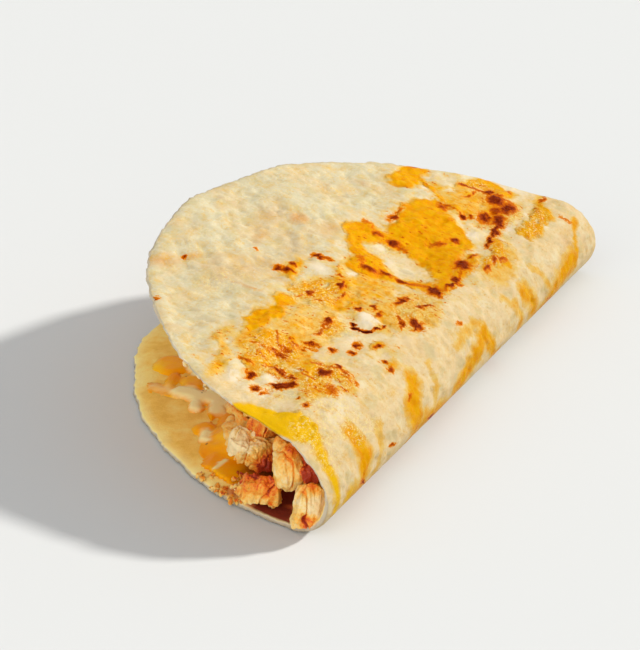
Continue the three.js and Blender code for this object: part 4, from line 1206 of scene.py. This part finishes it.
class Griddled(Shader):
    """Corn tortilla with cheese browned on to it, for the skin and for the crust that stands on it."""

    def __init__(self):
        super().__init__("griddled_tortilla")
        self.place = self.attribute("flat", "Vector")
        self.inside = self.attribute("inside")
        self.outside = self.step(self.inside, 0.5, 0.2)
        self.band = self.attribute("griddled")
        self.toast_stain_and_shade = self.attribute("toast_stain_and_shade")
        self.mottle = self.noise(self.place, 0.42, 6, 0.62)
        self.grain = self.noise(self.place, 1.5, 5, 0.62)
        self.speckle = self.noise(self.place, 3.6, 3, 0.6)
        self.ragged = self.add(self.around(self.grain, 0.7), self.around(self.speckle, 0.5))
        streaks = self.noise(self.stretched(self.place, (1, 0.62, 1)), 0.5, 4, 0.6)
        broken = self.times(self.around(streaks, 1), self.step(self.band, 0, 1, 0.4, 1.3))
        self.cheese = self.add(self.attribute("cheese"), self.ragged, broken)
        self.thin = self.step(self.cheese, -0.2, 0.28, 0, 0.85)
        self.brown = self.brownness()
        self.grease = self.times(self.attribute("grease"), self.outside)
        self.greasy = self.step(self.grease, 0.1, 0.6)
        self.painted_glints = self.paint_glints()

    def brownness(self):
        """How browned it is: the browned places with crumbled edges, and specks and strokes besides."""
        heat = self.attribute("browned")
        crumbled = self.times(self.ragged, self.step(heat, 0, 0.25), 1.2)
        dotted = self.step(self.cells(self.place, 0.62), 0.2, 0.1)
        rare = self.step(self.noise(self.place, 0.33, 2), 0.48, 0.6)
        amount = self.add(self.times(self.thin, 0.4), 0.16)
        specks = self.times(dotted, rare, self.band, amount)
        hatched = self.noise(self.stretched(self.place, (1.5, 0.4, 1)), 0.8, 4, 0.65)
        rough = self.step(self.grain, 0.4, 0.6)
        strokes = self.times(self.step(hatched, 0.53, 0.66), rough, self.thin, self.band, 0.7)
        return self.largest(self.add(heat, crumbled), specks, strokes)

    def paint_glints(self):
        """Painted glints: small pale specks where the greasy crust would catch the light."""
        glint = self.step(self.noise(self.place, 2.1, 3, 0.7), 0.56, 0.62)
        chosen = self.step(self.noise(self.place, 0.35, 3, 0.6), 0.42, 0.54)
        return self.times(glint, chosen, self.greasy, 0.9, self.step(self.brown, 0.6, 0.2))

    def corn(self):
        """Bare tortilla on the outside: warm cream by the fold, greener and duller towards the rim."""
        away = self.step(self.part(self.place, "Y"), 30, 58)
        broad = self.noise(self.place, 0.1, 4, 0.6)
        pebbled = self.noise(self.place, 0.22, 3, 0.55)
        toasted = self.times(self.toast_stain_and_shade, self.outside, self.step(self.grain, 0.25, 0.6, 0.55, 1))
        return self.coats(
            seen(237, 209, 160),
            (away, seen(217, 205, 169)),
            (self.step(broad, 0.46, 0.62, 0, 0.6), seen(226, 194, 142)),
            (self.step(pebbled, 0.52, 0.64, 0, 0.6), seen(210, 193, 142)),
            (self.step(pebbled, 0.48, 0.36, 0, 0.4), seen(238, 226, 186)),
            (self.step(self.mottle, 0.52, 0.66, 0, 0.55), seen(211, 190, 136)),
            (self.step(self.mottle, 0.46, 0.34, 0, 0.4), seen(240, 226, 184)),
            (self.step(self.grain, 0.58, 0.72, 0, 0.35), seen(186, 156, 92)),
            (self.step(self.grain, 0.42, 0.3, 0, 0.25), seen(244, 232, 196)),
            (self.times(toasted, 0.8), seen(212, 150, 74)),
        )

    def lined(self):
        """The inner side, soaked with fat, and darker where sauce has stained it and where shadow is
        painted into the deep gaps at the open end.
        """
        broad = self.noise(self.place, 0.13, 4, 0.6)
        soaked = self.ramp(
            self.add(self.times(broad, 0.7), self.times(self.mottle, 0.3)),
            (0.38, seen_inside(202, 158, 70)),
            (0.50, seen_inside(213, 174, 86)),
            (0.62, seen_inside(224, 190, 112)),
        )
        # The darkest end of this ramp is painted shadow in the open end's deep gaps.
        sauced = self.ramp(
            self.toast_stain_and_shade,
            (0.15, seen_inside(210, 154, 68)),
            (0.40, seen_inside(206, 134, 62)),
            (0.75, seen_inside(172, 84, 42)),
            (1.00, seen_inside(104, 38, 24)),
        )
        return self.coats(soaked, (self.step(self.toast_stain_and_shade, 0.08, 0.35), sauced))

    def bare(self):
        """The tortilla on both sides, with its pale places."""
        pale_and_lit = self.attribute("pale_and_lit")
        corn = self.coats(self.corn(), (self.times(pale_and_lit, 0.75), seen(248, 232, 204)))
        lined = self.coats(self.lined(), (self.times(pale_and_lit, 0.8), seen_inside(236, 204, 142)))
        return self.coats(corn, (self.step(self.inside, 0.3, 0.8), lined))

    def cheesy(self, colour):
        """With the griddled cheese over it: flakes and tint, a thin stain, and melted where it is thick."""
        flakes = self.noise(self.stretched(self.place, (1, 0.6, 1)), 0.75, 4, 0.65)
        tint = self.noise(self.place, 0.28, 5, 0.65)
        stain = self.ramp(self.mottle, (0.36, seen(236, 196, 100)), (0.64, seen(228, 170, 46)))
        melted = self.ramp(
            self.mottle,
            (0.34, seen(237, 176, 8)),
            (0.50, seen(235, 162, 0)),
            (0.66, seen(230, 144, 0)),
        )
        # Painted light: the thick cheese is made a brighter yellow by the open end's lip, which faces away
        # from the key light.
        lip_painted_light = self.step(self.part(self.place, "X"), -60, -68, 0, 0.8)
        return self.coats(
            colour,
            (self.times(self.step(flakes, 0.55, 0.66), self.band, 0.5), seen(244, 220, 172)),
            (self.times(self.step(tint, 0.5, 0.64), self.band, 0.5), seen(232, 196, 104)),
            (self.thin, stain),
            (self.step(self.cheese, 0.2, 0.7), self.coats(melted, (lip_painted_light, seen(243, 192, 12)))),
        )

    def scorched(self):
        return self.ramp(
            self.brown,
            (0.14, seen(240, 158, 8)),
            (0.28, seen(228, 130, 2)),
            (0.42, seen(210, 102, 0)),
            (0.56, seen(184, 76, 0)),
            (0.70, seen(152, 56, 4)),
            (0.84, seen(124, 34, 2)),
            (1.00, seen(72, 10, 0)),
        )

    def crisped(self, colour):
        """With the brown; the greasy crust's dark crumbs and its light ones, which are partly painted
        glints; painted glints over it; and painted shade darkening it towards the fold.
        """
        crunch = self.noise(self.place, 1.25, 4, 0.75)
        crisp = self.times(self.greasy, self.step(self.brown, 0.5, 0.2), 0.75)
        dark_crumbs = self.times(self.step(crunch, 0.45, 0.38), crisp, self.thin)
        # Painted shade: up to a fifth black, mixed in towards the fold, where the key light falls harder
        # than on the top.
        soaked = self.times(self.step(self.part(self.place, "Y"), 44, 2, 0, 0.21), self.outside)
        return self.coats(
            colour,
            (self.step(self.brown, 0.08, 0.24), self.scorched()),
            # Light crumbs: partly real crumbs and partly painted glints.
            (self.times(self.step(crunch, 0.54, 0.61), crisp), seen(250, 226, 140)),
            (dark_crumbs, seen(214, 132, 12)),
            # Painted glints: pale specks standing in for light caught by the grease.
            (self.painted_glints, seen(250, 228, 166)),
            (soaked, (0, 0, 0, 1)),
        )

    def gloss(self):
        sheen = self.add(self.step(self.cheese, 0, 0.5, 0.5, 0.3), self.around(self.grain, 0.3))
        return self.add(sheen, self.times(self.grease, -0.14))

    def relief(self):
        parts = (self.times(self.grain, 0.7), self.times(self.speckle, 0.4), self.times(self.painted_glints, 0.4))
        return self.bump(self.add(*parts), 0.5, 0.0005)


def griddled_material():
    shader = Griddled()
    return shader.finish(
        Base_Color=shader.crisped(shader.cheesy(shader.bare())),
        Roughness=shader.gloss(),
        Normal=shader.relief(),
        Subsurface_Weight=0.1,
        Subsurface_Radius=(1, 0.55, 0.2),
        Subsurface_Scale=0.0015,
        Specular_IOR_Level=0.015,
    )


def melted_material():
    """Soft, translucent orange cheese inside the fold, with whiter strands."""
    shader = Shader("melted_cheese")
    place = shader.attribute("flat", "Vector")
    broad = shader.noise(place, 0.12, 3, 0.5)
    fine = shader.noise(place, 1.2, 4, 0.6)
    orange = shader.ramp(
        broad,
        (0.34, seen_inside(240, 132, 0)),
        (0.52, seen_inside(244, 146, 2)),
        (0.68, seen_inside(246, 166, 22)),
    )
    specks = shader.step(shader.cells(place, 0.22), 0.075, 0.05)
    colour = shader.coats(
        orange,
        # This darkening is partly sauce stain and partly painted shadow in the gaps of the open end.
        (shader.times(shader.attribute("stain"), 0.9), seen_inside(96, 30, 12)),
        (shader.attribute("white"), seen_inside(216, 200, 144)),
        (shader.times(specks, 0.8), seen_inside(90, 50, 20)),
    )
    return shader.finish(
        Base_Color=colour,
        Roughness=shader.step(fine, 0.3, 0.7, 0.28, 0.46),
        Normal=shader.bump(fine, 0.25, 0.0004),
        Subsurface_Weight=0.12,
        Subsurface_Radius=(1, 0.5, 0.15),
        Subsurface_Scale=0.002,
        Specular_IOR_Level=0.1,
    )


def chicken_material():
    """Pulled chicken: pale meat with orange-red seasoning; its hollows come out darker and redder."""
    shader = Shader("seasoned_chicken")
    place = shader.attribute("flat", "Vector")
    coarse = shader.noise(place, 0.4, 5, 0.6)
    fine = shader.noise(place, 2, 4, 0.65)
    amount = shader.attribute("season")
    amount = shader.add(amount, shader.around(coarse, 1), shader.around(fine, 0.85), -0.05)
    colour = shader.ramp(
        amount,
        (0.00, seen_inside(215, 192, 144)),
        (0.18, seen_inside(215, 180, 108)),
        (0.40, seen_inside(215, 164, 72)),
        (0.58, seen_inside(214, 134, 32)),
        (0.76, seen_inside(202, 88, 14)),
        (0.94, seen_inside(150, 44, 13)),
    )
    return shader.finish(
        Base_Color=colour,
        Roughness=shader.step(fine, 0.3, 0.7, 0.34, 0.55),
        Normal=shader.bump(fine, 0.6, 0.0005),
        Subsurface_Weight=0.15,
        Subsurface_Radius=(1, 0.45, 0.3),
        Subsurface_Scale=0.0012,
        Specular_IOR_Level=0.4,
    )


# ---- The stage ----

FLOOR_REACH = 6  # metres
CAMERA_BEARING = -153.384  # degrees, as are the next two
CAMERA_ELEVATION = 25.942
CAMERA_ROLL = 2.227
CAMERA_DISTANCE = 450.468
CAMERA_TARGET = (11.219, 47.194, 0)
FOCAL_LENGTH = 101.62
SENSOR_WIDTH = 36


def stage():
    """A plain pale floor."""
    shader = Shader("floor")
    material = shader.finish(Base_Color=(0.61, 0.615, 0.605, 1), Roughness=0.8, Specular_IOR_Level=0.2)
    mesh = bpy.data.meshes.new("floor")
    corners = [(x * FLOOR_REACH, y * FLOOR_REACH, 0) for x, y in ((-1, -1), (1, -1), (1, 1), (-1, 1))]
    mesh.from_pydata(corners, [], [(0, 1, 2, 3)])
    mesh.materials.append(material)
    floor = add_object("floor", mesh)


def direction(bearing, elevation):
    """A unit vector from a bearing, counted from the +X axis towards +Y, and an elevation, in degrees."""
    az, el = math.radians(bearing), math.radians(elevation)
    return Vector((math.cos(az) * math.cos(el), math.sin(az) * math.cos(el), math.sin(el)))


def sun(name, strength, softness, bearing, elevation, colour):
    """A distant lamp, as wide in the sky as its softness in degrees."""
    data = bpy.data.lights.new(name, "SUN")
    data.energy = strength
    data.angle = math.radians(softness)
    data.color = colour
    lamp = add_object(name, data)
    lamp.rotation_euler = direction(bearing, elevation).to_track_quat("Z", "Y").to_euler()


def lights():
    """Even studio light: a pale sky, a soft key from the front and a very soft fill from the left."""
    world = bpy.data.worlds.new("studio")
    world.use_nodes = True
    background = world.node_tree.nodes["Background"]
    background.inputs["Color"].default_value = (0.97, 0.98, 1, 1)
    background.inputs["Strength"].default_value = 0.56
    bpy.context.scene.world = world
    sun("key", strength=4, softness=5, bearing=-45, elevation=32, colour=(1, 0.985, 0.95))
    sun("fill", strength=1.5, softness=70, bearing=190, elevation=24, colour=(1, 1, 1))


def camera():
    """The camera, low and from the open end, looking past the taco's middle."""
    data = bpy.data.cameras.new("camera")
    data.lens = FOCAL_LENGTH
    data.sensor_width = SENSOR_WIDTH
    data.clip_start = 0.01
    data.clip_end = 50
    view = add_object("camera", data)
    back = direction(CAMERA_BEARING, CAMERA_ELEVATION)
    target = Vector(in_row_frame(np.array(CAMERA_TARGET)).tolist())
    view.location = target + back * (CAMERA_DISTANCE * MM)
    upright = back.to_track_quat("Z", "Y").to_matrix()
    roll = Matrix.Rotation(math.radians(CAMERA_ROLL), 3, "Z")
    view.rotation_euler = (upright @ roll).to_euler()
    bpy.context.scene.camera = view


def main():
    skin = griddled_material()
    chicken = chicken_material()
    settle(tortilla(skin), "tortilla", "tortilla")
    for name in CRUST_AREAS:
        settle(crust(name, skin), "cheese", name)
    settle(lining(melted_material()), "cheese", "melted_cheese")
    grid = ball_grid(PIECE_CELLS)
    for index in range(len(PIECES)):
        settle(chicken_piece(index, chicken, grid), "chicken", f"chicken_piece_{index + 1}")
    settle(filling(chicken), "chicken", "chicken_filling")
    settle(crumbs(chicken), "chicken")
    stage()
    lights()
    camera()
    bpy.context.scene.view_settings.view_transform = "Standard"
    bpy.context.scene.view_settings.look = "None"


main()
